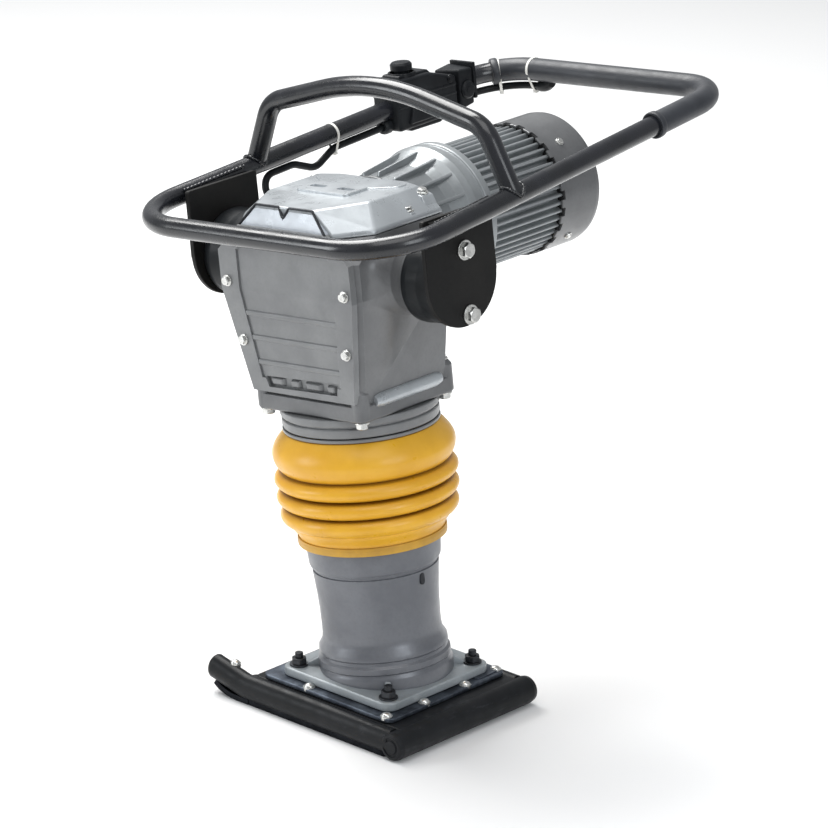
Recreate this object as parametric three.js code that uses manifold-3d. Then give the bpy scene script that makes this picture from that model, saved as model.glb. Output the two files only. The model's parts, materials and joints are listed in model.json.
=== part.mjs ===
// Electric tamping rammer ("jumping jack"): a finned motor on a gearcase drives a crank, whose
// rod works a spring-loaded ramming foot through a bellows-covered leg. A tube handle loop rides
// on two rubber buffers. Millimetres, +Z up. The origin is on the sole, under the foot of the leg.
// The toe points to -X, the gearcase front to -Y and the operator stands at +Y.
import * as THREE from "three";
import { ConvexGeometry } from "three/addons/geometries/ConvexGeometry.js";
import { mergeVertices } from "three/addons/utils/BufferGeometryUtils.js";
import Module from "manifold-3d";

const wasm = await Module();
wasm.setup();

// ---------------------------------------------------------------- driving dimensions
const GAP = 0.3; // clearance between pieces that touch
const CUT = 5; // how far a cutting tool runs past the face it cuts
const LEAN = THREE.MathUtils.degToRad(7.3); // the whole machine leans over its toe
const LEG_BASE = 56.8; // height of the leg axis's foot above the sole

const SHOE_HALF_WIDTH = 132.5;
const SOLE_THICKNESS = 8;
const SHOE_TOP = 38; // top of the shoe block
const TOE_X = -209;
const HEEL_X = 151;
const BED_FRONT = -131; // ahead of the bed only a runner on each side curls up into a toe
const RUNNER_WIDTH = 27;
const FOOT_PLATE_THICKNESS = 6;
const FOOT_FLANGE_THICKNESS = 12;
const FOOT_FLANGE_HALF = 98;
const FOOT_BOLT_OFFSET = 80;

const LEG_BORE = 60;
const LEG_FLOOR = 14;
const LEG_TOP = 200;
const SPRING_TUBE_R = 47;
const SPRING_TUBE_BORE = 42;
const SPRING_TUBE_TOP = 238; // low enough for the fork at the bottom of both strokes
const ROD_R = 13;
const SPRING_WIRE_R = 4.5;
const SPRING_COIL_R = 31;
const PISTON_Z = 150;
const PISTON_HEIGHT = 24;

const GUIDE_R = 56; // guide tube of the housing, running round the spring tube
const GUIDE_BORE = 50;
const GUIDE_BOTTOM = 160;
const COLLAR_R = 102;
const COLLAR_TOP = 362;

const BELLOWS_R = 120;
const BELLOWS_GROOVE_R = 108;
const BELLOWS_PITCH = 25.6;
const BELLOWS_WALL = 3;
const BELLOWS_CUFF_BOTTOM = 186;
const BELLOWS_CUFF_TOP = 334;

const CASE_FLANGE_TOP = 385;
const CASE_KNEE = 526; // height where the tapered case turns upright
const CASE_TOP = 604;
const CASE_REAR = 66;
const CASE_WALL = 8;
const COVER_THICKNESS = 10;
const ROOF_TOP = 640;

const MODULE_MM = 2.5;
const CRANK_TEETH = 56;
const PINION_TEETH = 14;
const MOTOR_Z = 563;
const CRANK_Z = MOTOR_Z - (MODULE_MM * (CRANK_TEETH + PINION_TEETH)) / 2;
const CRANK_THROW = 20;
const CRANK_SHAFT_R = 12;
const GEAR_FRONT = 20;
const GEAR_REAR = 38;
const CRANK_SEATS = { bore: 20, rim: 24, front: -88, rear: 46, width: 12 }; // bearing seats in the case
const CONROD_LENGTH = 95;
const CONROD_HALF = 11;
const WRIST_Z = CRANK_Z + CRANK_THROW - CONROD_LENGTH;

const MOTOR_BELL_END = 188;
const MOTOR_FRAME_END = 331;
const MOTOR_FRAME_BORE = 70;
const FIN_TIP_R = 85;
const FIN_ROOT_R = 78;
const FIN_COUNT = 28;
const COWL_R = 89.5;
const COWL_FRONT = 322;
const COWL_END = 402;
const MOTOR_SHAFT_R = 10;

const TUBE_R = 13.5; // handle and arch tube
const LOOP_FRONT = -162;
const LOOP_REAR = 531;
const LOOP_FRONT_HALF = 242; // the loop narrows towards the operator
const LOOP_REAR_HALF = 204;
const LOOP_Z = 627; // height of the loop's plane over the leg axis
const LOOP_RISE = 0.079; // the loop climbs towards the operator
const FRONT_CORNER = 96;
const REAR_CORNER = 70;
const ARCH_Y = 80;
const GRIP_R = 16.5;
const GRIP_START_Y = 370;

const MOUNT_Z = 539; // rubber buffers, which the handle rocks about
const MOUNT_R = 57;
const BOSS_R = 50;
const BOSS_END = 145;
const PLATE_INNER = 205;
const PLATE_THICKNESS = 7;
const PLATE_HALF = 63;
const PLATE_CENTRE_Y = -7;
const PLATE_TOP = 633;
const PLATE_BOLT_HEIGHTS = [497, 581];

const CABLE_R = 5;

// ---------------------------------------------------------------- materials
function paint(colour, roughness, metalness) {
  return new THREE.MeshStandardMaterial({ color: colour, roughness, metalness });
}
const FINISHES = {
  black_paint: [0x17191c, 0.35, 0.1],
  shoe_black: [0x1d1e20, 0.6, 0.1],
  worn_steel: [0x6d7276, 0.45, 0.8],
  cast_grey: [0x8b8f92, 0.5, 0.5],
  cast_light: [0xc3c8cc, 0.4, 0.5],
  motor_silver: [0xb4babd, 0.45, 0.5],
  cowl_grey: [0x8d9092, 0.4, 0.5],
  zinc: [0xb9bcbd, 0.35, 0.9],
  dark_steel: [0x2c3034, 0.5, 0.8],
  bright_steel: [0xc8cccf, 0.3, 1],
  bronze: [0xa8793a, 0.4, 0.9],
  bellows_yellow: [0xe6ac2c, 0.55, 0],
  rubber: [0x161718, 0.75, 0],
  grip_rubber: [0x1b1d20, 0.7, 0],
  black_plastic: [0x202225, 0.5, 0],
};

// ---------------------------------------------------------------- making and placing
const rammer = new THREE.Group();
const machine = new THREE.Group(); // everything that leans with the leg
machine.position.z = LEG_BASE;
machine.rotation.y = -LEAN;
rammer.add(machine);
machine.updateMatrix();

function piece(parent, name, finish, geometry) {
  const mesh = new THREE.Mesh(geometry, paint(...FINISHES[finish]));
  mesh.name = name;
  parent.add(mesh);
  return mesh;
}

// A three.js geometry as a solid that can be joined and cut. Triangles shrunk to a line are dropped.
function solid(geometry) {
  const bare = geometry.index ? geometry.toNonIndexed() : geometry.clone();
  bare.deleteAttribute("normal");
  bare.deleteAttribute("uv");
  const merged = mergeVertices(bare, 1e-4);
  const corners = merged.index.array;
  const kept = [];
  for (let i = 0; i < corners.length; i += 3) {
    const [a, b, c] = corners.subarray(i, i + 3);
    if (a !== b && b !== c && c !== a) kept.push(a, b, c);
  }
  const mesh = new wasm.Mesh({
    numProp: 3,
    vertProperties: new Float32Array(merged.attributes.position.array),
    triVerts: new Uint32Array(kept),
  });
  return new wasm.Manifold(mesh);
}

function shapeOf(manifold) {
  const mesh = manifold.getMesh();
  const geometry = new THREE.BufferGeometry();
  geometry.setAttribute("position", new THREE.BufferAttribute(mesh.vertProperties, 3));
  geometry.setIndex(new THREE.BufferAttribute(mesh.triVerts, 1));
  const flat = geometry.toNonIndexed();
  flat.computeVertexNormals();
  return flat;
}

function join(...geometries) {
  return geometries.map((g) => (g.isBufferGeometry ? solid(g) : g)).reduce((a, b) => a.add(b));
}

function cut(body, ...tools) {
  const start = body.isBufferGeometry ? solid(body) : body;
  return tools.reduce((a, t) => a.subtract(t.isBufferGeometry ? solid(t) : t), start);
}

// A box from its lowest corner to its highest.
function block(x0, x1, y0, y1, z0, z1) {
  const box = new THREE.BoxGeometry(x1 - x0, y1 - y0, z1 - z0);
  return box.translate((x0 + x1) / 2, (y0 + y1) / 2, (z0 + z1) / 2);
}

// Round bars along each axis, from one end to the other.
function barZ(radius, z0, z1, x = 0, y = 0, sides = 32) {
  const bar = new THREE.CylinderGeometry(radius, radius, z1 - z0, sides);
  return bar.rotateX(Math.PI / 2).translate(x, y, (z0 + z1) / 2);
}
function barY(radius, y0, y1, x = 0, z = 0, sides = 32) {
  const bar = new THREE.CylinderGeometry(radius, radius, y1 - y0, sides);
  return bar.translate(x, (y0 + y1) / 2, z);
}
function barX(radius, x0, x1, y = 0, z = 0, sides = 32) {
  const bar = new THREE.CylinderGeometry(radius, radius, x1 - x0, sides);
  return bar.rotateZ(Math.PI / 2).translate((x0 + x1) / 2, y, z);
}

// A turned piece from [radius, distance] pairs, which start and end on the axis or else close up.
function turnedGeometry(profile, sides) {
  const closed = profile[0][0] > 0;
  const points = [...profile, ...(closed ? [profile[0]] : [])].map(([r, z]) => new THREE.Vector2(r, z));
  if (THREE.ShapeUtils.area(points) < 0) points.reverse();
  return new THREE.LatheGeometry(points, sides);
}
function turned(profile, sides = 24) {
  return turnedGeometry(profile, sides).rotateX(Math.PI / 2);
}

// The same about the motor's or the crank's axis, which runs along Y at the given height.
function turnedAlongY(profile, z, sides = 24) {
  return turnedGeometry(profile, sides).translate(0, 0, z);
}

function ringZ(inner, outer, z0, z1, sides = 24) {
  return turned([[inner, z0], [outer, z0], [outer, z1], [inner, z1]], sides);
}
function ringY(inner, outer, y0, y1, z, sides = 24) {
  return turnedAlongY([[inner, y0], [outer, y0], [outer, y1], [inner, y1]], z, sides);
}

// An outline in X and Z, drawn out along Y from y0 to y1.
function slabY(shape, y0, y1) {
  const settings = { depth: y1 - y0, bevelEnabled: false, curveSegments: 8 };
  const slab = new THREE.ExtrudeGeometry(shape, settings);
  return slab.rotateX(Math.PI / 2).translate(0, y1, 0);
}

// An outline in Y and Z, drawn out along X from x0 to x1.
function slabX(shape, x0, x1) {
  const settings = { depth: x1 - x0, bevelEnabled: false, curveSegments: 10 };
  const slab = new THREE.ExtrudeGeometry(shape, settings);
  return slab.rotateY(Math.PI / 2).rotateX(Math.PI / 2).translate(x0, 0, 0);
}

// A path of straight runs with round corners. Each station is a point with its direction, and the
// last few can be dropped to end the path inside a corner.
class BentPath extends THREE.Curve {
  constructor(corners, arcSteps, drop) {
    super();
    const stations = BentPath.stationsOf(corners, arcSteps);
    this.stations = stations.slice(0, stations.length - drop);
  }
  static stationsOf(corners, arcSteps) {
    const points = corners.map(([x, y, z]) => new THREE.Vector3(x, y, z));
    const direction = (i) => points[i + 1].clone().sub(points[i]).normalize();
    const stations = [{ at: points[0], along: direction(0) }];
    for (let i = 1; i < points.length - 1; i++) {
      const before = direction(i - 1);
      const after = direction(i);
      const turn = before.angleTo(after);
      const radius = corners[i][3];
      const reach = radius * Math.tan(turn / 2);
      const inward = after.clone().sub(before).normalize();
      const centre = points[i].clone().addScaledVector(inward, radius / Math.cos(turn / 2));
      const start = points[i].clone().addScaledVector(before, -reach);
      const axis = before.clone().cross(after).normalize();
      for (let k = 0; k <= arcSteps; k++) {
        const angle = (turn * k) / arcSteps;
        const at = start.clone().sub(centre).applyAxisAngle(axis, angle).add(centre);
        stations.push({ at, along: before.clone().applyAxisAngle(axis, angle) });
      }
    }
    stations.push({ at: points.at(-1), along: direction(points.length - 2) });
    return stations;
  }
  station(u) {
    return this.stations[Math.round(u * (this.stations.length - 1))];
  }
  getPoint(u) {
    return this.station(u).at.clone();
  }
  getPointAt(u) {
    return this.getPoint(u);
  }
  getTangent(u) {
    return this.station(u).along.clone();
  }
  getTangentAt(u) {
    return this.getTangent(u);
  }
}

function tube(corners, radius, { sides = 12, arcSteps = 5, drop = 0 } = {}) {
  const path = new BentPath(corners, arcSteps, drop);
  const section = new THREE.Shape();
  for (let k = 0; k < sides; k++) {
    const angle = (k * 2 * Math.PI) / sides;
    const [x, y] = [radius * Math.cos(angle), radius * Math.sin(angle)];
    if (k) section.lineTo(x, y);
    else section.moveTo(x, y);
  }
  const steps = path.stations.length - 1;
  return new THREE.ExtrudeGeometry(section, { steps, extrudePath: path, bevelEnabled: false });
}

// A hex-head bolt with a washer face, its shank down -Z and the underside of its head at z = 0.
function hexBolt(shankR, shankLength, headR, headHeight, washerR) {
  const shank = barZ(shankR, -shankLength, 1, 0, 0, 8);
  const washer = barZ(washerR, 0, 2, 0, 0, 12);
  const head = barZ(headR, 1, headHeight, 0, 0, 6);
  return shapeOf(join(shank, washer, head));
}

// ---------------------------------------------------------------- foot: the shoe
function toeGap() {
  const half = SHOE_HALF_WIDTH - RUNNER_WIDTH;
  return block(TOE_X - CUT, BED_FRONT, -half, half, -CUT, SHOE_TOP + 30);
}

function shoeSole() {
  const outline = new THREE.Shape();
  outline.moveTo(118, 0);
  outline.lineTo(118, SOLE_THICKNESS);
  outline.lineTo(-150, SOLE_THICKNESS);
  outline.quadraticCurveTo(-174, 9, -187, 20);
  outline.lineTo(-192, 13);
  outline.quadraticCurveTo(-178, 1, -150, 0);
  outline.lineTo(118, 0);
  return shapeOf(cut(slabY(outline, -SHOE_HALF_WIDTH + 2, SHOE_HALF_WIDTH - 2), toeGap()));
}

function shoeBlock() {
  const noseR = 16;
  const heelR = 19;
  const under = SOLE_THICKNESS + GAP;
  const outline = new THREE.Shape();
  outline.moveTo(-150, under);
  outline.lineTo(118 + GAP, under);
  outline.lineTo(118 + GAP, 4);
  outline.absarc(HEEL_X - heelR, heelR + 0.5, heelR, -Math.PI * 0.62, Math.PI / 2, false);
  outline.lineTo(-140, SHOE_TOP);
  outline.quadraticCurveTo(-166, SHOE_TOP + 1, -180, 49);
  outline.absarc(TOE_X + noseR, 36.5, noseR, Math.PI * 0.35, Math.PI * 1.38, false);
  outline.lineTo(-187, 20 + 2 * GAP);
  outline.quadraticCurveTo(-173.5, 9.8, -150, under);
  return shapeOf(cut(slabY(outline, -SHOE_HALF_WIDTH, SHOE_HALF_WIDTH), toeGap()));
}

const FOOT_PLATE_BOTTOM = SHOE_TOP + 3 * GAP;
const FLANGE_BOTTOM = FOOT_PLATE_BOTTOM + FOOT_PLATE_THICKNESS + GAP;
const FLANGE_TOP = FLANGE_BOTTOM + FOOT_FLANGE_THICKNESS;
const FOOT_CORNERS = [[-1, -1], [1, -1], [1, 1], [-1, 1]].map((c) => c.map((s) => s * FOOT_BOLT_OFFSET));

function footPlate() {
  const plate = block(-118, 112, -112, 112, FOOT_PLATE_BOTTOM, FOOT_PLATE_BOTTOM + FOOT_PLATE_THICKNESS);
  return shapeOf(cut(plate, ...FOOT_CORNERS.map(([x, y]) => barZ(6.3, 0, 100, x, y, 16))));
}

function legCasting() {
  const upright = turned([
    [0, -30], [85, -30], [84, 6], [80, 14], [77.5, 30], [78, 62], [79.5, 104], [82.5, 138],
    [80.5, 141], [80.5, 144], [86, 147], [88.6, 180], [88.8, LEG_TOP], [LEG_BORE, LEG_TOP],
    [LEG_BORE, LEG_FLOOR], [0, LEG_FLOOR],
  ], 28);
  const leaning = upright.applyMatrix4(machine.matrix);
  const below = block(-200, 200, -200, 200, -100, FLANGE_BOTTOM);
  const half = FOOT_FLANGE_HALF;
  const flange = block(-half, half, -half, half, FLANGE_BOTTOM, FLANGE_TOP);
  const holes = FOOT_CORNERS.map(([x, y]) => barZ(6.3, FLANGE_BOTTOM - CUT, FLANGE_TOP + CUT, x, y, 16));
  return shapeOf(cut(join(cut(leaning, below), flange), ...holes));
}

piece(rammer, "shoe_sole", "worn_steel", shoeSole());
piece(rammer, "shoe_block", "shoe_black", shoeBlock());
piece(rammer, "shoe_top_plate", "worn_steel", footPlate());
piece(rammer, "leg_casting", "cast_grey", legCasting());
FOOT_CORNERS.forEach(([x, y], i) => {
  const shank = FLANGE_TOP - FOOT_PLATE_BOTTOM;
  const bolt = piece(rammer, `foot_bolt_${i + 1}`, "dark_steel", hexBolt(6, shank, 9, 11, 11));
  bolt.position.set(x, y, FLANGE_TOP + GAP);
});

// ---------------------------------------------------------------- foot: spring tube and springs
function spring(bottom, top, turns) {
  const coilBottom = bottom + SPRING_WIRE_R + GAP;
  const coilTop = top - SPRING_WIRE_R - GAP;
  class Coil extends THREE.Curve {
    getPoint(t) {
      const angle = turns * 2 * Math.PI * t;
      const z = coilBottom + (coilTop - coilBottom) * t;
      return new THREE.Vector3(SPRING_COIL_R * Math.cos(angle), SPRING_COIL_R * Math.sin(angle), z);
    }
  }
  const wire = new THREE.Shape();
  wire.absarc(0, 0, SPRING_WIRE_R, 0, 2 * Math.PI, false);
  const settings = { steps: turns * 11, extrudePath: new Coil(), curveSegments: 3, bevelEnabled: false };
  return new THREE.ExtrudeGeometry(wire, settings);
}

const SPRING_FLOOR = LEG_FLOOR + GAP;
const springTube = ringZ(SPRING_TUBE_BORE, SPRING_TUBE_R, SPRING_FLOOR, SPRING_TUBE_TOP);
piece(machine, "spring_tube", "bright_steel", springTube);
const capBottom = SPRING_TUBE_TOP + GAP;
const springTubeCap = ringZ(ROD_R + GAP, SPRING_TUBE_R, capBottom, capBottom + 8);
piece(machine, "spring_tube_cap", "dark_steel", springTubeCap);
const upperSpring = spring(PISTON_Z + PISTON_HEIGHT / 2, capBottom, 5);
piece(machine, "upper_spring", "bright_steel", upperSpring);
piece(machine, "lower_spring", "bright_steel", spring(SPRING_FLOOR, PISTON_Z - PISTON_HEIGHT / 2, 5));

// ---------------------------------------------------------------- bellows and its clamps
// Crest and groove radii repeat down the bellows, and a taper leads to the cuff at each end.
function bellowsProfile(inset) {
  const outer = [[95, BELLOWS_CUFF_BOTTOM], [95.5, 202], [116, 212]];
  const firstCrest = 222;
  for (let k = 0; k < 4; k++) {
    const crest = firstCrest + k * BELLOWS_PITCH;
    outer.push([BELLOWS_R, crest]);
    if (k < 3) outer.push([BELLOWS_GROOVE_R, crest + BELLOWS_PITCH / 2 + 2]);
  }
  outer.push([BELLOWS_R, 309], [98.2, 318.5], [98, BELLOWS_CUFF_TOP]);
  const inner = outer.map(([r, z]) => [r - inset, z]);
  return [...outer, ...inner.reverse()];
}
piece(machine, "bellows", "bellows_yellow", turned(bellowsProfile(BELLOWS_WALL)));
piece(machine, "bellows_lower_clamp", "zinc", ringZ(95.9, 97.2, 189, 195));
piece(machine, "bellows_upper_clamp", "cast_grey", ringZ(98.4, COLLAR_R, 320, 333));

// ---------------------------------------------------------------- housing: guide and collar
function guideTube() {
  const spigotR = 94.7;
  return turned([
    [GUIDE_BORE, GUIDE_BOTTOM], [GUIDE_R, GUIDE_BOTTOM], [GUIDE_R, 340], [88, 340], [88, 322],
    [spigotR, 322], [spigotR, 335], [COLLAR_R - 1, 335], [COLLAR_R, 338], [COLLAR_R, 352],
    [COLLAR_R - 3, COLLAR_TOP], [GUIDE_BORE, COLLAR_TOP],
  ]);
}
piece(machine, "guide_tube", "cast_grey", guideTube());
const guideBush = ringZ(SPRING_TUBE_R + GAP, GUIDE_BORE - GAP, GUIDE_BOTTOM + 2, GUIDE_BOTTOM + 40);
piece(machine, "guide_bush", "bronze", guideBush);

// ---------------------------------------------------------------- housing: gearcase
// The case's outline at a height: half width, front face and front corner chamfer.
const CASE_SECTIONS = [
  { z: CASE_FLANGE_TOP - 8, half: 91, front: -88, chamferX: 8, chamferY: 8 },
  { z: CASE_KNEE, half: 117, front: -102, chamferX: 8, chamferY: 8 },
  { z: 574, half: 117, front: -102, chamferX: 8, chamferY: 8 },
  { z: CASE_TOP, half: 117, front: -102, chamferX: 36, chamferY: 43 },
];

function hull(sections, rear) {
  const points = sections.flatMap((s) => [
    [-s.half + s.chamferX, s.front], [s.half - s.chamferX, s.front],
    [s.half, s.front + s.chamferY], [s.half, rear], [-s.half, rear], [-s.half, s.front + s.chamferY],
  ].map(([x, y]) => new THREE.Vector3(x, y, s.z)));
  return new ConvexGeometry(points);
}

function stackedHulls(sections, rear) {
  return join(...sections.slice(1).map((s, i) => hull([sections[i], s], rear)));
}

const CASE_CORNERS = [[-84, -82], [84, -82], [84, 72], [-84, 72]];
const BASE_FLANGE = { half: 96, front: -94, rear: 84 };
function casePosts(clearance) {
  const top = CASE_FLANGE_TOP + 22 + clearance;
  return CASE_CORNERS.map(([x, y]) => barZ(12 + clearance, COLLAR_TOP + GAP, top, x, y, 20));
}

function gearcase() {
  const { half, front, rear } = BASE_FLANGE;
  const flange = block(-half, half, front, rear, COLLAR_TOP + GAP, CASE_FLANGE_TOP);
  const posts = casePosts(0);
  const bosses = [-1, 1].map((side) => {
    const [from, to] = side < 0 ? [-BOSS_END, -90] : [90, BOSS_END];
    return barX(BOSS_R, from, to, 0, MOUNT_Z, 32);
  });
  const outer = join(stackedHulls(CASE_SECTIONS, CASE_REAR), flange, ...posts, ...bosses);
  const inside = CASE_SECTIONS.map((s, i) => ({
    ...s,
    z: [CASE_FLANGE_TOP + 2, s.z, s.z, CASE_TOP + CUT][i],
    half: s.half - CASE_WALL,
    front: -130,
    chamferX: 1,
    chamferY: 1,
  }));
  const room = stackedHulls(inside, CASE_REAR - CASE_WALL);
  const seatFront = CRANK_SEATS.rear - 1;
  const rearSeat = barY(CRANK_SEATS.rim, seatFront, CASE_REAR - CASE_WALL + 1, 0, CRANK_Z, 24);
  return shapeOf(cut(
    join(cut(outer, room), rearSeat),
    barZ(GUIDE_BORE, COLLAR_TOP - CUT, CASE_FLANGE_TOP + CUT),
    barY(62, CASE_REAR - CASE_WALL - CUT, CASE_REAR + CUT, 0, MOTOR_Z, 40),
    barY(CRANK_SEATS.bore, seatFront - CUT, CRANK_SEATS.rear + CRANK_SEATS.width + GAP, 0, CRANK_Z, 24),
    ...CASE_CORNERS.map(([x, y]) => barZ(5.3, COLLAR_TOP - CUT, CASE_FLANGE_TOP + 12, x, y, 12)),
  ));
}
piece(machine, "gearcase", "cast_light", gearcase());
CASE_CORNERS.forEach(([x, y], i) => {
  const bolt = piece(machine, `case_bolt_${i + 1}`, "zinc", hexBolt(5, 30, 8, 9, 9));
  bolt.rotation.x = Math.PI;
  bolt.position.set(x, y, COLLAR_TOP);
});

// Front cover: a ribbed plate that follows the case's knee, with a notched crown over the case top.
const CASE_FRONT_SLOPE = (-88 + 102) / (CASE_KNEE - (CASE_FLANGE_TOP - 8));
function caseFrontAt(z) {
  return -102 + Math.max(0, CASE_KNEE - z) * CASE_FRONT_SLOPE;
}
function coverPanel(outline, from, to) {
  const points = outline.flatMap(([x, z]) => [
    new THREE.Vector3(x, caseFrontAt(z) - from, z),
    new THREE.Vector3(x, caseFrontAt(z) - to, z),
  ]);
  return new ConvexGeometry(points);
}
const COVER_BOTTOM = CASE_FLANGE_TOP + 4;

function frontCover() {
  const back = GAP;
  const face = COVER_THICKNESS;
  const lower = [[-90, COVER_BOTTOM], [90, COVER_BOTTOM], [116, CASE_KNEE], [-116, CASE_KNEE]];
  const knee = CASE_KNEE - 1;
  const middle = [[-116, knee], [116, knee], [116, 576], [76, 613], [-76, 613], [-116, 576]];
  const crown = (side) => [
    [0, 590], [0, 624], [side * 9, 638], [side * 50, 638], [side * 76, 613], [side * 76, 590],
  ];
  const plate = join(
    coverPanel(lower, back, face),
    coverPanel(middle, back, face),
    coverPanel(crown(1), back, face),
    coverPanel(crown(-1), back, face),
  );
  const panelFloor = face - 3;
  const lowerPanel = [[-66, 404], [66, 404], [82, CASE_KNEE], [-82, CASE_KNEE]];
  const upperPanel = [[-82, knee], [82, knee], [82, 592], [-82, 592]];
  const panels = [lowerPanel, upperPanel].map((outline) => coverPanel(outline, panelFloor, face + CUT));
  const ribs = [426, 459, 492].map((z) => {
    const half = 67 + ((z - 404) * 16) / (CASE_KNEE - 404);
    return coverPanel([[-half, z], [half, z], [half, z + 9], [-half, z + 9]], 3, face - 0.5);
  });
  const seatBack = CRANK_SEATS.front + CRANK_SEATS.width;
  const seatFront = caseFrontAt(CRANK_Z) - back - 1;
  const bearingSeat = ringY(CRANK_SEATS.bore, CRANK_SEATS.rim, seatFront, seatBack, CRANK_Z);
  return shapeOf(join(cut(plate, ...panels, ...casePosts(GAP)), ...ribs, bearingSeat));
}

// Top cover: a low hipped roof, hollow below, with a breather plate that has two slots.
function topCover() {
  const foot = CASE_TOP + GAP;
  // Both sides of an outline given by its right half, drawn in by an inset.
  const level = (rightHalf) => (z, inset) => rightHalf.flatMap(([x, y]) => {
    const inwards = y < 0 ? y + inset : y - inset;
    return [x - inset, inset - x].map((across) => new THREE.Vector3(across, inwards, z));
  });
  const eaves = level([[81, -101], [117, -59], [117, CASE_REAR]]);
  const roof = level([[50, -101], [88, -35], [88, 55], [56, CASE_REAR]]);
  const outer = new ConvexGeometry([...eaves(foot, 0), ...eaves(foot + 6, 0), ...roof(ROOF_TOP, 0)]);
  const [thick, ceiling] = [8, ROOF_TOP - 6];
  const inner = new ConvexGeometry([
    ...eaves(foot - CUT, thick), ...eaves(foot + 3, thick), ...roof(ceiling, thick),
  ]);
  const breather = block(-48, 42, -30, 14, ROOF_TOP - 2, ROOF_TOP + 4);
  const slots = [-27, 21].map((x) => block(x - 14, x + 14, -13, -3, ROOF_TOP - 3, ROOF_TOP + CUT));
  return shapeOf(cut(join(cut(outer, inner), breather), ...slots));
}
piece(machine, "front_cover", "cast_grey", frontCover());
piece(machine, "top_cover", "cast_light", topCover());

// ---------------------------------------------------------------- housing: motor
function motorBell() {
  const bore = MOTOR_FRAME_BORE + GAP;
  const shell = turnedAlongY([
    [60, CASE_REAR + GAP], [76, CASE_REAR + GAP], [79, 100], [82, 128], [93, 148], [96, 156],
    [96, MOTOR_BELL_END], [bore, MOTOR_BELL_END], [bore, 160], [60, 150],
  ], MOTOR_Z);
  return shapeOf(join(shell, ringY(20 + GAP, 64, 76, 88, MOTOR_Z)));
}

function motorFrame() {
  const outline = new THREE.Shape();
  for (let k = 0; k < FIN_COUNT; k++) {
    const pitch = (2 * Math.PI) / FIN_COUNT;
    const at = (radius, share) => {
      const angle = (k + share) * pitch;
      return [radius * Math.cos(angle), radius * Math.sin(angle)];
    };
    if (k) outline.lineTo(...at(FIN_ROOT_R, -0.25));
    else outline.moveTo(...at(FIN_ROOT_R, -0.25));
    outline.lineTo(...at(FIN_TIP_R, -0.15));
    outline.lineTo(...at(FIN_TIP_R, 0.15));
    outline.lineTo(...at(FIN_ROOT_R, 0.25));
  }
  outline.closePath();
  const bore = new THREE.Path();
  bore.absarc(0, 0, MOTOR_FRAME_BORE, 0, 2 * Math.PI, true);
  outline.holes.push(bore);
  const length = MOTOR_FRAME_END - MOTOR_BELL_END - GAP;
  const settings = { depth: length, bevelEnabled: false, curveSegments: 12 };
  const frame = new THREE.ExtrudeGeometry(outline, settings);
  return frame.rotateX(Math.PI / 2).translate(0, MOTOR_FRAME_END, MOTOR_Z);
}

// The cowl is a drum, open at the front, with a ring of slots in its rear face for the fan's air.
function fanCowl() {
  const drum = turnedAlongY([
    [COWL_R - 2.5, COWL_FRONT], [COWL_R, COWL_FRONT], [COWL_R, COWL_END - 8], [COWL_R - 6, COWL_END],
    [0, COWL_END], [0, COWL_END - 3], [COWL_R - 8, COWL_END - 3], [COWL_R - 2.5, COWL_END - 9],
  ], MOTOR_Z);
  const slots = [];
  for (let k = 0; k < 12; k++) {
    const slot = block(24, 68, COWL_END - 3 - CUT, COWL_END + CUT, -4, 4);
    slots.push(slot.rotateY((k * Math.PI) / 6).translate(0, 0, MOTOR_Z));
  }
  return shapeOf(cut(drum, ...slots));
}

function fan() {
  const hub = ringY(MOTOR_SHAFT_R + GAP, 18, 346, 372, MOTOR_Z, 24);
  const disc = ringY(MOTOR_SHAFT_R + GAP, 60, 346, 349, MOTOR_Z, 24);
  const blades = [];
  for (let k = 0; k < 7; k++) {
    const blade = block(16, 64, 347, 374, -1.5, 1.5);
    blades.push(blade.rotateY((k * 2 * Math.PI) / 7).translate(0, 0, MOTOR_Z));
  }
  return shapeOf(join(hub, disc, ...blades));
}

const REAR_BELL_FRONT = 316;
piece(machine, "motor_front_bell", "motor_silver", motorBell());
piece(machine, "motor_frame", "motor_silver", motorFrame());
piece(machine, "stator_core", "dark_steel", ringY(46, MOTOR_FRAME_BORE - GAP, 200, 300, MOTOR_Z));
const rearBellR = MOTOR_FRAME_BORE - GAP;
piece(machine, "motor_rear_bell", "cast_grey", turnedAlongY([
  [16 + GAP, REAR_BELL_FRONT], [rearBellR, REAR_BELL_FRONT], [rearBellR, MOTOR_FRAME_END + GAP],
  [84, MOTOR_FRAME_END + GAP], [84, MOTOR_FRAME_END + 6], [16 + GAP, MOTOR_FRAME_END + 6],
], MOTOR_Z));
piece(machine, "fan_cowl", "cowl_grey", fanCowl());
const bearingBore = MOTOR_SHAFT_R + GAP;
piece(machine, "motor_front_bearing", "bright_steel", ringY(bearingBore, 20, 76.5, 87.5, MOTOR_Z, 20));
piece(machine, "motor_rear_bearing", "bright_steel", ringY(bearingBore, 16, 320, 332, MOTOR_Z, 20));

// The terminal box is on the bell's left side, below the motor's axis.
const TERMINAL = { outer: -136, inner: -97, front: 108, rear: 178, bottom: 500, top: 560 };
const TERMINAL_ENTRY = { y: 143, z: 530 };
function terminalBox() {
  const { outer, inner, front, rear, bottom, top } = TERMINAL;
  const lid = 6;
  const body = block(outer + lid + GAP, inner + 12, front, rear, bottom, top);
  const room = block(outer, inner - 6, front + 5, rear - 5, bottom + 5, top - 5);
  const bell = barY(97.5, 0, 300, 0, MOTOR_Z, 40);
  return shapeOf(cut(body, room, bell));
}
piece(machine, "terminal_box", "motor_silver", terminalBox());
piece(machine, "terminal_lid", "motor_silver", block(
  TERMINAL.outer, TERMINAL.outer + 6, TERMINAL.front, TERMINAL.rear, TERMINAL.bottom, TERMINAL.top,
));

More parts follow.
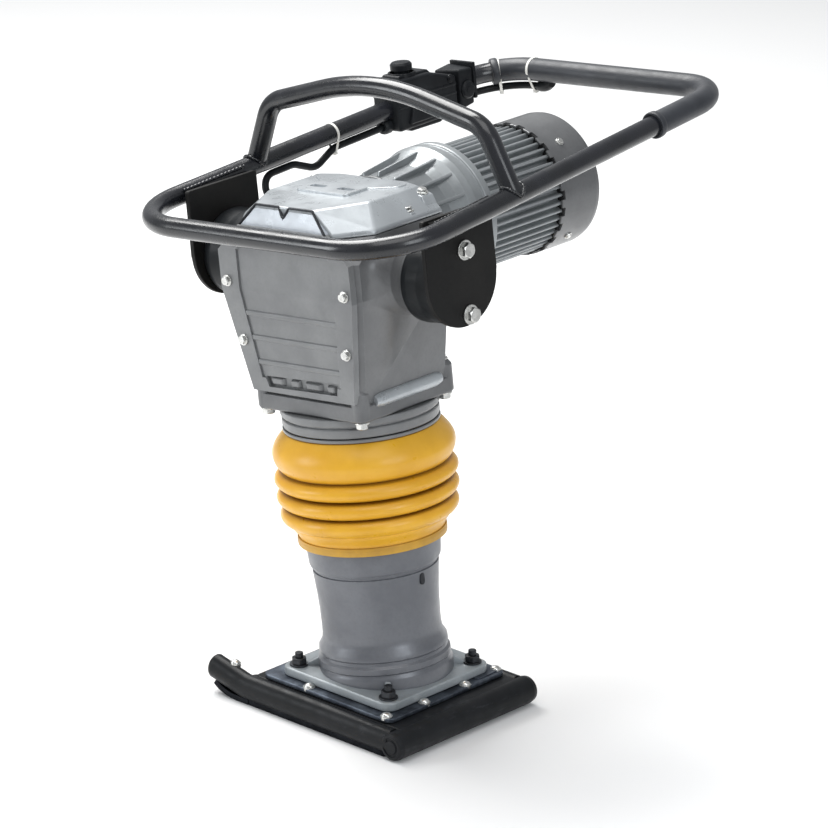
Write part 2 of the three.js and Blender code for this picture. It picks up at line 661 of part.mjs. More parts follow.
// ---------------------------------------------------------------- rotor: shaft, pinion, core and fan
function gear(teeth, bore, front, rear, z, phase) {
  const pitchR = (MODULE_MM * teeth) / 2;
  const [root, tip] = [pitchR - 1.25 * MODULE_MM, pitchR + MODULE_MM - 0.2];
  const outline = new THREE.Shape();
  for (let k = 0; k < teeth; k++) {
    const points = [[root, -0.31], [tip, -0.12], [tip, 0.12], [root, 0.31]];
    points.forEach(([radius, share], i) => {
      const angle = ((k + share + phase) * 2 * Math.PI) / teeth;
      const [x, y] = [radius * Math.cos(angle), radius * Math.sin(angle)];
      if (k + i) outline.lineTo(x, y);
      else outline.moveTo(x, y);
    });
  }
  outline.closePath();
  const hole = new THREE.Path();
  hole.absarc(0, 0, bore, 0, 2 * Math.PI, true);
  outline.holes.push(hole);
  const settings = { depth: rear - front, bevelEnabled: false, curveSegments: 8 };
  const wheel = new THREE.ExtrudeGeometry(outline, settings);
  return wheel.rotateX(Math.PI / 2).translate(0, rear, z);
}
const rotorShaft = barY(MOTOR_SHAFT_R, GEAR_FRONT - 6, 374, 0, MOTOR_Z, 24);
piece(machine, "rotor_shaft", "bright_steel", rotorShaft);
const pinionPhase = 0.5 + PINION_TEETH / 4;
const pinion = gear(PINION_TEETH, MOTOR_SHAFT_R + GAP, GEAR_FRONT, GEAR_REAR, MOTOR_Z, pinionPhase);
piece(machine, "motor_pinion", "bright_steel", pinion);
piece(machine, "rotor_core", "dark_steel", ringY(MOTOR_SHAFT_R + GAP, 45, 202, 298, MOTOR_Z));
piece(machine, "cooling_fan", "black_plastic", fan());

// ---------------------------------------------------------------- crank, rod and piston
function crankshaft() {
  const pinZ = CRANK_Z + CRANK_THROW;
  const web = barY(34, -26, -CONROD_HALF - 3, 0, CRANK_Z, 32);
  const rearWeb = barY(30, CONROD_HALF + 3, GEAR_FRONT - GAP, 0, CRANK_Z, 32);
  return shapeOf(join(
    barY(CRANK_SHAFT_R, CRANK_SEATS.front, -25, 0, CRANK_Z, 24),
    web,
    barY(9, -20, 16, 0, pinZ, 20),
    rearWeb,
    barY(CRANK_SHAFT_R, GEAR_FRONT - 2, CRANK_SEATS.rear + CRANK_SEATS.width, 0, CRANK_Z, 24),
  ));
}

function connectingRod() {
  const bigEye = barY(20, -CONROD_HALF, CONROD_HALF, 0, CRANK_Z + CRANK_THROW, 28);
  const smallEye = barY(14, -CONROD_HALF, CONROD_HALF, 0, WRIST_Z, 24);
  const shank = block(-8, 8, -7, 7, WRIST_Z, CRANK_Z + CRANK_THROW);
  const bigBore = barY(9 + GAP, -20, 20, 0, CRANK_Z + CRANK_THROW, 24);
  const smallBore = barY(7, -20, 20, 0, WRIST_Z, 20);
  return shapeOf(cut(join(bigEye, smallEye, shank), bigBore, smallBore));
}

// The rod's fork takes the connecting rod's small eye through its whole stroke, without a wrist pin.
const FORK_GAP_BOTTOM = WRIST_Z - 2 * CRANK_THROW - 18;
function pistonRod() {
  const cheeks = block(-14, 14, -17, 17, FORK_GAP_BOTTOM - 12, WRIST_Z + 12);
  const slot = block(-20, 20, -CONROD_HALF - 1, CONROD_HALF + 1, FORK_GAP_BOTTOM, WRIST_Z + 20);
  const pinHole = barY(7, -30, 30, 0, WRIST_Z, 20);
  const rod = barZ(ROD_R, PISTON_Z - PISTON_HEIGHT / 2 - 8, FORK_GAP_BOTTOM - 6, 0, 0, 28);
  return shapeOf(join(cut(cheeks, slot, pinHole), rod));
}
piece(machine, "crankshaft", "dark_steel", crankshaft());
const crankGear = gear(CRANK_TEETH, CRANK_SHAFT_R + GAP, GEAR_FRONT, GEAR_REAR, CRANK_Z, CRANK_TEETH / 4);
piece(machine, "crank_gear", "bright_steel", crankGear);
["front", "rear"].forEach((end) => {
  const start = CRANK_SEATS[end];
  const stop = start + CRANK_SEATS.width;
  const bearing = ringY(CRANK_SHAFT_R + GAP, CRANK_SEATS.bore - GAP, start, stop, CRANK_Z, 20);
  piece(machine, `crank_${end}_bearing`, "bright_steel", bearing);
});
piece(machine, "connecting_rod", "dark_steel", connectingRod());
piece(machine, "piston_rod", "bright_steel", pistonRod());
const pistonBottom = PISTON_Z - PISTON_HEIGHT / 2;
const pistonTop = PISTON_Z + PISTON_HEIGHT / 2;
const piston = ringZ(ROD_R + GAP, SPRING_TUBE_BORE - GAP, pistonBottom, pistonTop);
piece(machine, "piston", "dark_steel", piston);

// ---------------------------------------------------------------- handle
function halfWidthAt(y) {
  const along = (y - LOOP_FRONT) / (LOOP_REAR - LOOP_FRONT);
  return LOOP_FRONT_HALF + (LOOP_REAR_HALF - LOOP_FRONT_HALF) * along;
}
function loopPoint(x, y, radius) {
  return [x, y, LOOP_Z + LOOP_RISE * y, radius];
}
function railPoint(side, y, radius) {
  return loopPoint(side * halfWidthAt(y), y, radius);
}
const JOIN_Y = 140; // the two halves of the loop overlap here by a hair
function handleLoop() {
  const half = (end, from, corner) => tube([
    railPoint(-1, from), railPoint(-1, end, corner), railPoint(1, end, corner), railPoint(1, from),
  ], TUBE_R);
  const front = half(LOOP_FRONT, JOIN_Y + 0.5, FRONT_CORNER);
  return shapeOf(join(front, half(LOOP_REAR, JOIN_Y - 0.5, REAR_CORNER)));
}

function railTool(side, radius) {
  return tube([railPoint(side, -100), railPoint(side, 300)], radius, { sides: 16 });
}

function liftingArch() {
  const [, , foot] = railPoint(1, ARCH_Y);
  const half = halfWidthAt(ARCH_Y);
  const arch = tube([
    [-half, ARCH_Y, foot], [-190, ARCH_Y, 720, 44], [0, ARCH_Y, 767, 380],
    [190, ARCH_Y, 720, 44], [half, ARCH_Y, foot],
  ], TUBE_R);
  return shapeOf(cut(arch, railTool(-1, TUBE_R + GAP), railTool(1, TUBE_R + GAP)));
}

// A plate hangs from a short cradle under each rail.
function sidePlate(side) {
  const outline = new THREE.Shape();
  const arcZ = 546;
  outline.moveTo(PLATE_CENTRE_Y - PLATE_HALF, PLATE_TOP);
  outline.lineTo(PLATE_CENTRE_Y - PLATE_HALF, arcZ);
  outline.absarc(PLATE_CENTRE_Y, arcZ, PLATE_HALF, Math.PI, 2 * Math.PI, false);
  outline.lineTo(PLATE_CENTRE_Y + PLATE_HALF, PLATE_TOP);
  outline.lineTo(PLATE_CENTRE_Y - PLATE_HALF, PLATE_TOP);
  const x0 = side > 0 ? PLATE_INNER : -PLATE_INNER - PLATE_THICKNESS;
  const outer = side * (PLATE_INNER + PLATE_THICKNESS);
  const [from, to] = [outer - side * 0.5, outer + side * 16].sort((a, b) => a - b);
  const cradle = block(from, to, PLATE_CENTRE_Y - 55, PLATE_CENTRE_Y + 55, PLATE_TOP - 20, PLATE_TOP - 2);
  const plate = shapeOf(join(slabX(outline, x0, x0 + PLATE_THICKNESS), cradle));
  const holes = PLATE_BOLT_HEIGHTS.map((z) => barX(6.3, x0 - CUT, x0 + PLATE_THICKNESS + CUT, 0, z, 16));
  return shapeOf(cut(plate, railTool(side, TUBE_R + GAP), ...holes));
}

// The grip sleeve runs from the right rail round the rear bar and ends inside the far corner.
function rearGrip() {
  const path = (from) => [
    railPoint(1, from), railPoint(1, LOOP_REAR, REAR_CORNER), railPoint(-1, LOOP_REAR, REAR_CORNER),
    railPoint(-1, GRIP_START_Y),
  ];
  const bore = tube(path(GRIP_START_Y - CUT), TUBE_R + 2 * GAP, { drop: 2 });
  return shapeOf(cut(tube(path(GRIP_START_Y), GRIP_R, { drop: 3 }), bore));
}

piece(machine, "handle_loop", "black_paint", handleLoop());
piece(machine, "lifting_arch", "black_paint", liftingArch());
piece(machine, "rear_grip", "grip_rubber", rearGrip());
[["right", 1], ["left", -1]].forEach(([name, side]) => {
  piece(machine, `side_plate_${name}`, "black_paint", sidePlate(side));
  const [from, to] = [BOSS_END + GAP, PLATE_INNER - GAP];
  const buffer = barX(MOUNT_R, side > 0 ? from : -to, side > 0 ? to : -from, 0, MOUNT_Z);
  const [holeFrom, holeTo] = side > 0 ? [180, 210] : [-210, -180];
  const holes = PLATE_BOLT_HEIGHTS.map((z) => barX(6.3, holeFrom, holeTo, 0, z, 16));
  piece(machine, `rubber_buffer_${name}`, "rubber", shapeOf(cut(buffer, ...holes)));
  PLATE_BOLT_HEIGHTS.forEach((z, i) => {
    const bolt = piece(machine, `plate_bolt_${name}_${i + 1}`, "zinc", hexBolt(6, 22, 10, 10, 12));
    bolt.rotation.y = (side * Math.PI) / 2;
    bolt.position.set(side * (PLATE_INNER + PLATE_THICKNESS + GAP), 0, z);
  });
});

// ---------------------------------------------------------------- switch and leads
const SWITCH = { front: 318, rear: 428, bottom: 624, top: 694 };
const BUTTON_Y = SWITCH.front + 34;
const BUTTON_X = -halfWidthAt(BUTTON_Y);
// Points across the left rail at each [y, z] of an outline, on both sides of it.
function acrossRail(outline, outward, inward) {
  const at = (y, z, dx) => new THREE.Vector3(dx - halfWidthAt(y), y, z);
  return outline.flatMap(([y, z]) => [at(y, z, -outward), at(y, z, inward)]);
}
function switchBox() {
  const { front, rear, bottom, top } = SWITCH;
  const side = [[front, bottom], [rear, bottom + 4], [rear, top - 14], [front + 62, top], [front, top]];
  const rail = tube([railPoint(-1, front - 40), railPoint(-1, rear + 40)], TUBE_R + 2 * GAP, { sides: 16 });
  const stem = barZ(11, top - 7, top + CUT, BUTTON_X, BUTTON_Y, 20);
  return shapeOf(cut(new ConvexGeometry(acrossRail(side, 24, 24)), rail, stem));
}
piece(machine, "switch_box", "black_plastic", switchBox());
const buttonTop = SWITCH.top + 19;
const button = turned([
  [0, SWITCH.top - 1], [10, SWITCH.top - 1], [10, SWITCH.top + 7], [15, SWITCH.top + 7],
  [15, buttonTop - 3], [12, buttonTop], [0, buttonTop],
]);
button.translate(BUTTON_X, BUTTON_Y, 0);
piece(machine, "switch_button", "black_plastic", button);

// The motor lead leaves the switch box under the rail, dips in a small loop, and goes down past
// the arch's foot to the terminal box. The supply lead runs under the rear bar and into it.
function under(point, drop) {
  const [x, y, z, radius] = point;
  return [x, y, z - drop, radius];
}
const UNDER_RAIL = TUBE_R + CABLE_R + 1.5;
const UNDER_GRIP = GRIP_R + CABLE_R + 1.5;
const LEAD_DIP = 17;
const motorLead = tube([
  under(railPoint(-1, SWITCH.front - 3 * GAP), UNDER_RAIL),
  under(railPoint(-1, 218, 30), UNDER_RAIL),
  under(railPoint(-1, 182, 24), UNDER_RAIL + LEAD_DIP),
  under(railPoint(-1, 144, 30), UNDER_RAIL),
  under(railPoint(-1, 84, 22), UNDER_RAIL),
  [-206, 88, 560, 26],
  [-176, TERMINAL_ENTRY.y, TERMINAL_ENTRY.z, 22],
  [TERMINAL.outer - GAP, TERMINAL_ENTRY.y, TERMINAL_ENTRY.z],
], CABLE_R, { sides: 8 });
piece(machine, "motor_lead", "rubber", motorLead);

function supplyLeadTube(radius) {
  return tube([
    under(railPoint(-1, SWITCH.rear + 3 * GAP), UNDER_GRIP),
    under(railPoint(-1, LOOP_REAR, REAR_CORNER), UNDER_GRIP),
    under(loopPoint(-122, LOOP_REAR), UNDER_GRIP),
  ], radius, { sides: 8 });
}
piece(machine, "supply_lead", "rubber", supplyLeadTube(CABLE_R));

// A clamp on the rail, just before its rear corner, holds the supply lead.
function leadClamp() {
  const [front, rear] = [SWITCH.rear + 4, SWITCH.rear + 36];
  const side = [[front, 628], [rear, 628], [rear, 690], [front, 690]];
  const path = [railPoint(-1, SWITCH.front), railPoint(-1, LOOP_REAR, REAR_CORNER), loopPoint(0, LOOP_REAR)];
  const rail = tube(path, TUBE_R + 2 * GAP, { sides: 16 });
  return shapeOf(cut(new ConvexGeometry(acrossRail(side, 22, 26)), rail, supplyLeadTube(CABLE_R + GAP)));
}
piece(machine, "lead_clamp", "black_plastic", leadClamp());

export default rammer;
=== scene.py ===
import json
from math import atan, cos, exp, pi, radians, sin, tan

import bmesh
import bpy
from mathutils import Matrix, Vector


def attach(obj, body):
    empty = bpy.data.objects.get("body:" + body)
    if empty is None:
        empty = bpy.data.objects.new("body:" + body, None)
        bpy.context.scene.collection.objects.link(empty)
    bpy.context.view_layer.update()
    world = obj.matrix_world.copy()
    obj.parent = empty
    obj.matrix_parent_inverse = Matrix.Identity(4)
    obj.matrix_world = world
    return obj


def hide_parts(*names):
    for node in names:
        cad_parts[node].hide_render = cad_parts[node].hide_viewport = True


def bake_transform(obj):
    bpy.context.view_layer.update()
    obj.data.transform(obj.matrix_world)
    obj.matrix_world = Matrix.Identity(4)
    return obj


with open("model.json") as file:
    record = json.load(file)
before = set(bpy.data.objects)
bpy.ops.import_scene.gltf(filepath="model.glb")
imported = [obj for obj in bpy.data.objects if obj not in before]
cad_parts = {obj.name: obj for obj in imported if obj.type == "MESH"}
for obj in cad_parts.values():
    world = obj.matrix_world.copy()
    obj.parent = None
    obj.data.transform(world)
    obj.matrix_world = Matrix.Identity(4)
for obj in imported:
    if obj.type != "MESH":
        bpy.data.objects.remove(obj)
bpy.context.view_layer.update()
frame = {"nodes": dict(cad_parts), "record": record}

LEAN = radians(7.3)
LIFT = 0.0568
UPRIGHT = Matrix.Scale(0.001, 4)
MACHINE = Matrix.Translation((0, 0, LIFT)) @ Matrix.Rotation(-LEAN, 4, "Y") @ UPRIGHT


# ------------------------------------------------------------------ materials
class Surface:
    """A node material built up in layers over one Principled shader."""

    def __init__(self, name, metallic=0.0, coat=0.0):
        self.material = bpy.data.materials.new(name)
        self.material.use_nodes = True
        self.nodes = self.material.node_tree.nodes
        self.links = self.material.node_tree.links
        self.shader = self.nodes["Principled BSDF"]
        self.shader.inputs["Metallic"].default_value = metallic
        self.shader.inputs["Coat Weight"].default_value = coat
        self.shader.inputs["Coat Roughness"].default_value = 0.12
        self.place = self.nodes.new("ShaderNodeTexCoord").outputs["Object"]
        self.normal = None

    def node(self, kind, inputs=(), **settings):
        """A new node with its settings made and its inputs linked or set."""
        made = self.nodes.new("ShaderNode" + kind)
        for key, value in settings.items():
            setattr(made, key, value)
        for key, value in dict(inputs).items():
            if hasattr(value, "node"):
                self.links.new(value, made.inputs[key])
            else:
                made.inputs[key].default_value = value
        return made

    def noise(self, size, detail=4.0, rough=0.55, stretch=(1, 1, 1)):
        """Noise whose features are about size millimetres across."""
        mapping = self.node("Mapping", {"Vector": self.place, "Scale": stretch})
        return self.node("TexNoise", {"Vector": mapping.outputs[0], "Scale": 500.0 / size,
                                      "Detail": detail, "Roughness": rough}).outputs["Fac"]

    def ramp(self, value, low, high, start=0.0, end=1.0):
        """The value's span from low to high, eased into the span from start to end."""
        return self.node("MapRange", {"Value": value, "From Min": low, "From Max": high,
                                      "To Min": start, "To Max": end},
                         interpolation_type="SMOOTHSTEP").outputs["Result"]

    def times(self, a, b):
        return self.node("Math", {0: a, 1: b}, operation="MULTIPLY").outputs[0]

    def mix(self, amount, under, over):
        """Colour over laid on colour under by amount. Either may be a socket or three numbers."""
        under, over = (c if hasattr(c, "node") else (*c, 1) for c in (under, over))
        return self.node("Mix", {0: amount, 6: under, 7: over}, data_type="RGBA").outputs[2]

    def bump(self, height, depth):
        """Adds relief, depth in millimetres."""
        node = self.node("Bump", {"Strength": 1.0, "Distance": depth * 0.001, "Height": height})
        if self.normal:
            self.links.new(self.normal, node.inputs["Normal"])
        self.normal = node.outputs["Normal"]

    def edges(self, radius):
        """1 along edges and 0 on open faces, within radius millimetres."""
        bevel = self.node("Bevel", {"Radius": radius * 0.001}, samples=4)
        face = self.node("NewGeometry")
        dot = self.node("VectorMath", {0: bevel.outputs[0], 1: face.outputs["Normal"]},
                        operation="DOT_PRODUCT")
        return self.ramp(dot.outputs["Value"], 0.97, 0.75)

    def hollow(self, reach):
        """1 deep in hollows and 0 in the open, looking reach millimetres around."""
        node = self.node("AmbientOcclusion", {"Distance": reach * 0.001}, samples=8)
        return self.ramp(node.outputs["AO"], 0.80, 0.38)

    def finish(self, colour, roughness):
        self.links.new(colour, self.shader.inputs["Base Color"])
        self.links.new(roughness, self.shader.inputs["Roughness"])
        if self.normal:
            self.links.new(self.normal, self.shader.inputs["Normal"])
        return self.material


def painted(name, colour, shade, rough, metallic, coat, grain, edge_wear_and_highlight=None, edge_wear_and_highlight_amount=0.5):
    """Paint on metal: cloudy colour, orange-peel grain, and lighter edges, partly worn paint and
    partly painted highlight.
    """
    s = Surface(name, metallic, coat)
    cloud = s.ramp(s.noise(38, 5), 0.38, 0.66)
    speck = s.ramp(s.noise(2.2, 3), 0.45, 0.7, 0, 0.35)
    base = s.mix(speck, s.mix(cloud, colour, shade), shade)
    if edge_wear_and_highlight:
        # Lighter edges: partly worn paint, partly painted highlight along every edge.
        rub_and_highlight = s.times(s.edges(1.6), s.ramp(s.noise(7, 6, 0.7), 0.44, 0.62, 0, edge_wear_and_highlight_amount))
        base = s.mix(rub_and_highlight, base, edge_wear_and_highlight)
    s.bump(s.noise(grain[0], 3), grain[1])
    s.bump(s.noise(grain[0] * 9, 2), grain[1] * 2)
    spread = s.ramp(s.noise(16, 5, 0.65), 0.3, 0.7, rough - 0.06, rough + 0.09)
    return s.finish(base, spread)


def plated(name, colour, shade, rough, streak=(1, 1, 1), scratch=0.02, patch=14):
    """Bare or plated metal with mottled colour and fine scratches."""
    s = Surface(name, 0.92)
    mottle = s.ramp(s.noise(patch, 6, 0.65), 0.36, 0.64)
    fine = s.noise(0.9, 3, 0.6, streak)
    base = s.mix(mottle, colour, shade)
    base = s.mix(s.ramp(fine, 0.5, 0.75, 0, 0.4), base, shade)
    s.bump(fine, scratch)
    return s.finish(base, s.ramp(s.noise(6, 5, 0.7), 0.3, 0.7, rough - 0.08, rough + 0.12))


def moulded(name, colour, shade, rough, grain, dust=None, sheen=0.0, deep=None):
    """Rubber or plastic: fine grain, soft clouding, a little pale dust, and where given a painted
    shade colour in hollows.
    """
    s = Surface(name)
    s.shader.inputs["Sheen Weight"].default_value = sheen
    s.shader.inputs["Sheen Roughness"].default_value = 0.4
    base = s.mix(s.ramp(s.noise(30, 5), 0.35, 0.68), colour, shade)
    if dust:
        scuff = s.ramp(s.noise(11, 7, 0.72, (1, 0.5, 2)), 0.56, 0.74, 0, 0.55)
        base = s.mix(scuff, base, dust)
    if deep:
        # Darker colour where ambient occlusion finds hollows: painted shade.
        base = s.mix(s.hollow(16), base, deep)
    s.bump(s.noise(grain[0], 4, 0.6), grain[1])
    return s.finish(base, s.ramp(s.noise(9, 5, 0.6), 0.3, 0.7, rough - 0.07, rough + 0.08))


# Colour, shade, roughness, metallic, coat, grain size and depth, worn edge colour and amount (worn
# paint and painted highlight).
PAINTS = {
    "black_paint": ((0.007, 0.008, 0.010), (0.011, 0.012, 0.016), 0.24, 0.0, 0.25, (1.3, 0.012),
                    (0.16, 0.17, 0.19), 0.35),
    "plate_paint": ((0.008, 0.008, 0.008), (0.012, 0.0115, 0.011), 0.46, 0.0, 0.0, (1.1, 0.02),
                    (0.10, 0.10, 0.10), 0.3),
    "cast_grey": ((0.215, 0.220, 0.223), (0.175, 0.179, 0.184), 0.42, 0.3, 0.08, (1.5, 0.05),
                  (0.45, 0.46, 0.48), 0.5),
    "leg_grey": ((0.155, 0.162, 0.178), (0.122, 0.128, 0.143), 0.38, 0.35, 0.1, (1.6, 0.05),
                 (0.45, 0.46, 0.48), 0.5),
    "cast_light": ((0.165, 0.168, 0.172), (0.130, 0.133, 0.137), 0.40, 0.3, 0.1, (1.6, 0.045),
                   (0.5, 0.52, 0.54), 0.5),
    # Casting paint made lighter for up-facing parts: painted highlight.
    "top_light": ((0.47, 0.50, 0.52), (0.40, 0.425, 0.445), 0.30, 0.4, 0.3, (1.6, 0.03),
                  (0.7, 0.72, 0.74), 0.5),
    # Casting paint brightened for the crown's front facets: painted highlight.
    "crown_white": ((0.42, 0.45, 0.49), (0.34, 0.365, 0.395), 0.30, 0.3, 0.3, (1.6, 0.03),
                    (0.8, 0.82, 0.84), 0.4),
    "motor_silver": ((0.30, 0.32, 0.33), (0.24, 0.255, 0.265), 0.34, 0.45, 0.2, (1.4, 0.035),
                     (0.62, 0.64, 0.65), 0.4),
    "cowl_grey": ((0.135, 0.138, 0.142), (0.105, 0.108, 0.112), 0.34, 0.3, 0.2, (1.5, 0.03),
                  (0.4, 0.4, 0.4), 0.4),
    # Leg paint made lighter for the up-facing foot flange: painted highlight.
    "cast_pale": ((0.33, 0.36, 0.38), (0.25, 0.275, 0.29), 0.38, 0.3, 0.1, (1.5, 0.05),
                  (0.62, 0.64, 0.66), 0.5),
}
# Colour, shade, roughness, streaks, scratch depth, patch size.
METALS = {
    "sole_dark": ((0.018, 0.020, 0.024), (0.008, 0.009, 0.011), 0.5, (1, 4, 1), 0.03, 18),
    "worn_steel": ((0.12, 0.14, 0.17), (0.035, 0.042, 0.056), 0.42, (1, 4, 1), 0.03, 22),
    "zinc": ((0.74, 0.74, 0.72), (0.56, 0.56, 0.54), 0.26, (1, 1, 3), 0.012, 5),
    "dark_steel": ((0.055, 0.058, 0.064), (0.030, 0.031, 0.034), 0.40, (1, 1, 2), 0.02, 8),
    "bright_steel": ((0.60, 0.61, 0.62), (0.48, 0.49, 0.50), 0.24, (3, 1, 1), 0.01, 12),
    "bronze": ((0.52, 0.33, 0.13), (0.38, 0.23, 0.09), 0.36, (1, 1, 4), 0.02),
}
# Colour, shade, roughness, grain size and depth, dust, sheen, painted shade colour in hollows.
MOULDINGS = {
    "shoe_black": ((0.008, 0.009, 0.010), (0.014, 0.015, 0.017), 0.40, (0.9, 0.03),
                   (0.05, 0.053, 0.06)),
    # The bellows' last colour is painted shade in its grooves.
    "bellows_yellow": ((0.80, 0.43, 0.028), (0.72, 0.37, 0.020), 0.34, (1.6, 0.03), None, 0.0,
                       (0.22, 0.085, 0.004)),
    "cuff_yellow": ((0.60, 0.33, 0.030), (0.44, 0.24, 0.028), 0.46, (1.4, 0.04)),
    "rubber": ((0.008, 0.009, 0.010), (0.014, 0.016, 0.018), 0.36, (1.0, 0.03)),
    "grip_rubber": ((0.016, 0.018, 0.023), (0.026, 0.029, 0.036), 0.44, (0.7, 0.05), None, 0.1),
    "black_plastic": ((0.010, 0.011, 0.013), (0.018, 0.020, 0.022), 0.34, (0.8, 0.03),
                      (0.05, 0.055, 0.06)),
    "tie_nylon": ((0.78, 0.77, 0.73), (0.66, 0.65, 0.61), 0.4, (1.0, 0.01)),
    # Near-black for the inside of the cowl slots: painted shade.
    "slot_dark": ((0.004, 0.004, 0.005), (0.007, 0.007, 0.008), 0.7, (1.0, 0.02)),
}
DULL = ("shoe_black", "sole_dark", "plate_paint", "rubber", "black_plastic")
MATERIALS = {}
for make, table in ((painted, PAINTS), (plated, METALS), (moulded, MOULDINGS)):
    for name, row in table.items():
        MATERIALS[name] = make(name, *row)
for name in DULL:
    shader = MATERIALS[name].node_tree.nodes["Principled BSDF"]
    shader.inputs["Specular IOR Level"].default_value = 0.16


# ------------------------------------------------------------------ outlines and paths
def fillet(points, radius, steps=5):
    """A closed outline with rounded corners. A third number is a point's own radius."""
    found = []
    count = len(points)
    for i, p in enumerate(points):
        here = Vector(p[:2])
        r = p[2] if len(p) > 2 else radius
        before = Vector(points[i - 1][:2]) - here
        after = Vector(points[(i + 1) % count][:2]) - here
        half = before.angle(after, pi) / 2
        if r <= 0 or half > radians(88):
            found.append(here)
            continue
        reach = min(r / tan(half), before.length * 0.49, after.length * 0.49)
        r = reach * tan(half)
        b, a = before.normalized(), after.normalized()
        centre = here + (a + b).normalized() * (r / sin(half))
        start, end = here + b * reach - centre, here + a * reach - centre
        turn = start.angle_signed(end)
        for k in range(steps + 1):
            angle = -turn * k / steps
            c, s = cos(angle), sin(angle)
            found.append(centre + Vector((start.x * c - start.y * s, start.x * s + start.y * c)))
    return [(v.x, v.y) for v in found]


def arc(cx, cy, r, from_deg, to_deg, steps):
    turn = [radians(from_deg + (to_deg - from_deg) * k / steps) for k in range(steps + 1)]
    return [(cx + r * cos(t), cy + r * sin(t)) for t in turn]


def bent(corners, steps=14, every=40):
    """Stations (place, direction) along straight runs with round corners of radius corner[3]."""
    points = [Vector(c[:3]) for c in corners]
    found = []

    def run(start, end, along):
        pieces = max(1, int((end - start).length / every))
        for k in range(pieces + 1):
            here = start.lerp(end, k / pieces)
            if not found or (found[-1][0] - here).length > 0.01:
                found.append((here, along))

    last = points[0]
    for i in range(1, len(points) - 1):
        before = (points[i] - points[i - 1]).normalized()
        after = (points[i + 1] - points[i]).normalized()
        turn = before.angle(after)
        radius = corners[i][3]
        reach = radius * tan(turn / 2)
        centre = points[i] + (after - before).normalized() * (radius / cos(turn / 2))
        start = points[i] - before * reach
        run(last, start, before)
        axis = before.cross(after).normalized()
        for k in range(1, steps + 1):
            spin = Matrix.Rotation(turn * k / steps, 3, axis)
            found.append((spin @ (start - centre) + centre, spin @ before))
        last = points[i] + after * reach
    run(last, points[-1], (points[-1] - points[-2]).normalized())
    return found


def path_length(stations):
    return sum((b[0] - a[0]).length for a, b in zip(stations, stations[1:]))


# ------------------------------------------------------------------ meshes
def finished(made):
    mesh = bpy.data.meshes.new("shape")
    made.to_mesh(mesh)
    made.free()
    return mesh


def mesh_of(verts, faces):
    made = bmesh.new()
    placed = [made.verts.new(v) for v in verts]
    for f in faces:
        made.faces.new([placed[i] for i in f])
    bmesh.ops.recalc_face_normals(made, faces=made.faces)
    return finished(made)


AXES = {
    "Z": lambda r, a, h: (r * cos(a), r * sin(a), h),
    "Y": lambda r, a, h: (r * cos(a), h, r * sin(a)),
    "X": lambda r, a, h: (h, r * cos(a), r * sin(a)),
}


def lathe(profile, axis="Z", at=(0, 0, 0), steps=96):
    """A closed turned shape. Its profile is (radius, distance), from axis to axis or a loop."""
    place = AXES[axis]
    on_axis = profile[0][0] < 1e-6
    verts, rings = [], []
    for r, h in profile:
        if r < 1e-6:
            rings.append([len(verts)])
            verts.append(Vector(place(0, 0, h)) + Vector(at))
            continue
        rings.append(list(range(len(verts), len(verts) + steps)))
        for k in range(steps):
            verts.append(Vector(place(r, 2 * pi * k / steps, h)) + Vector(at))
    pairs = list(zip(rings, rings[1:]))
    if not on_axis:
        pairs.append((rings[-1], rings[0]))
    faces = []
    for a, b in pairs:
        for k in range(steps if len(a) + len(b) > 2 else 0):
            n = (k + 1) % steps
            if len(a) == 1:
                faces.append((a[0], b[k], b[n]))
            elif len(b) == 1:
                faces.append((a[k], a[n], b[0]))
            else:
                faces.append((a[k], a[n], b[n], b[k]))
    return mesh_of(verts, faces)


def sweep(stations, radius, sides=24, closed=False, flat=1.0):
    """A tube along stations. radius may be a list, one for each station."""
    up = None
    rings, verts = [], []
    for i, (at, along) in enumerate(stations):
        if up is None:
            up = Vector((0, 0, 1)) if abs(along.z) < 0.9 else Vector((1, 0, 0))
        up = (up - along * up.dot(along)).normalized()
        side = along.cross(up)
        r = radius[i] if isinstance(radius, list) else radius
        rings.append(list(range(len(verts), len(verts) + sides)))
        for k in range(sides):
            a = 2 * pi * k / sides
            verts.append(at + side * (r * cos(a)) + up * (r * flat * sin(a)))
    faces = []
    pairs = list(zip(rings, rings[1:])) + ([(rings[-1], rings[0])] if closed else [])
    for a, b in pairs:
        for k in range(sides):
            n = (k + 1) % sides
            faces.append((a[k], a[n], b[n], b[k]))
    if not closed:
        faces += [tuple(rings[0]), tuple(reversed(rings[-1]))]
    return mesh_of(verts, faces)


def prism(outline, axis, low, high):
    """A 2-D outline drawn out along an axis: X takes (y, z), Y takes (x, z), Z takes (x, y)."""
    def place(u, v, h):
        return {"X": (h, u, v), "Y": (u, h, v), "Z": (u, v, h)}[axis]

    count = len(outline)
    verts = [place(u, v, low) for u, v in outline] + [place(u, v, high) for u, v in outline]
    faces = [tuple(range(count)), tuple(reversed(range(count, 2 * count)))]
    for k in range(count):
        n = (k + 1) % count
        faces.append((k, n, n + count, k + count))
    return mesh_of(verts, faces)


def rect(x0, x1, y0, y1, radius=0.0, steps=4):
    return fillet([(x0, y0), (x1, y0), (x1, y1), (x0, y1)], radius, steps)


def hull(points):
    """The convex hull of the points."""
    made = bmesh.new()
    for p in points:
        made.verts.new(p)
    bmesh.ops.convex_hull(made, input=made.verts)
    loose = [v for v in made.verts if not v.link_faces]
    bmesh.ops.delete(made, geom=loose, context="VERTS")
    bmesh.ops.dissolve_limit(made, angle_limit=0.01, verts=made.verts, edges=made.edges)
    bmesh.ops.recalc_face_normals(made, faces=made.faces)
    return finished(made)


def moved(mesh, matrix):
    mesh.transform(matrix)
    return mesh


def object_of(mesh, name="work"):
    made = bpy.data.objects.new(name, mesh)
    bpy.context.scene.collection.objects.link(made)
    return made


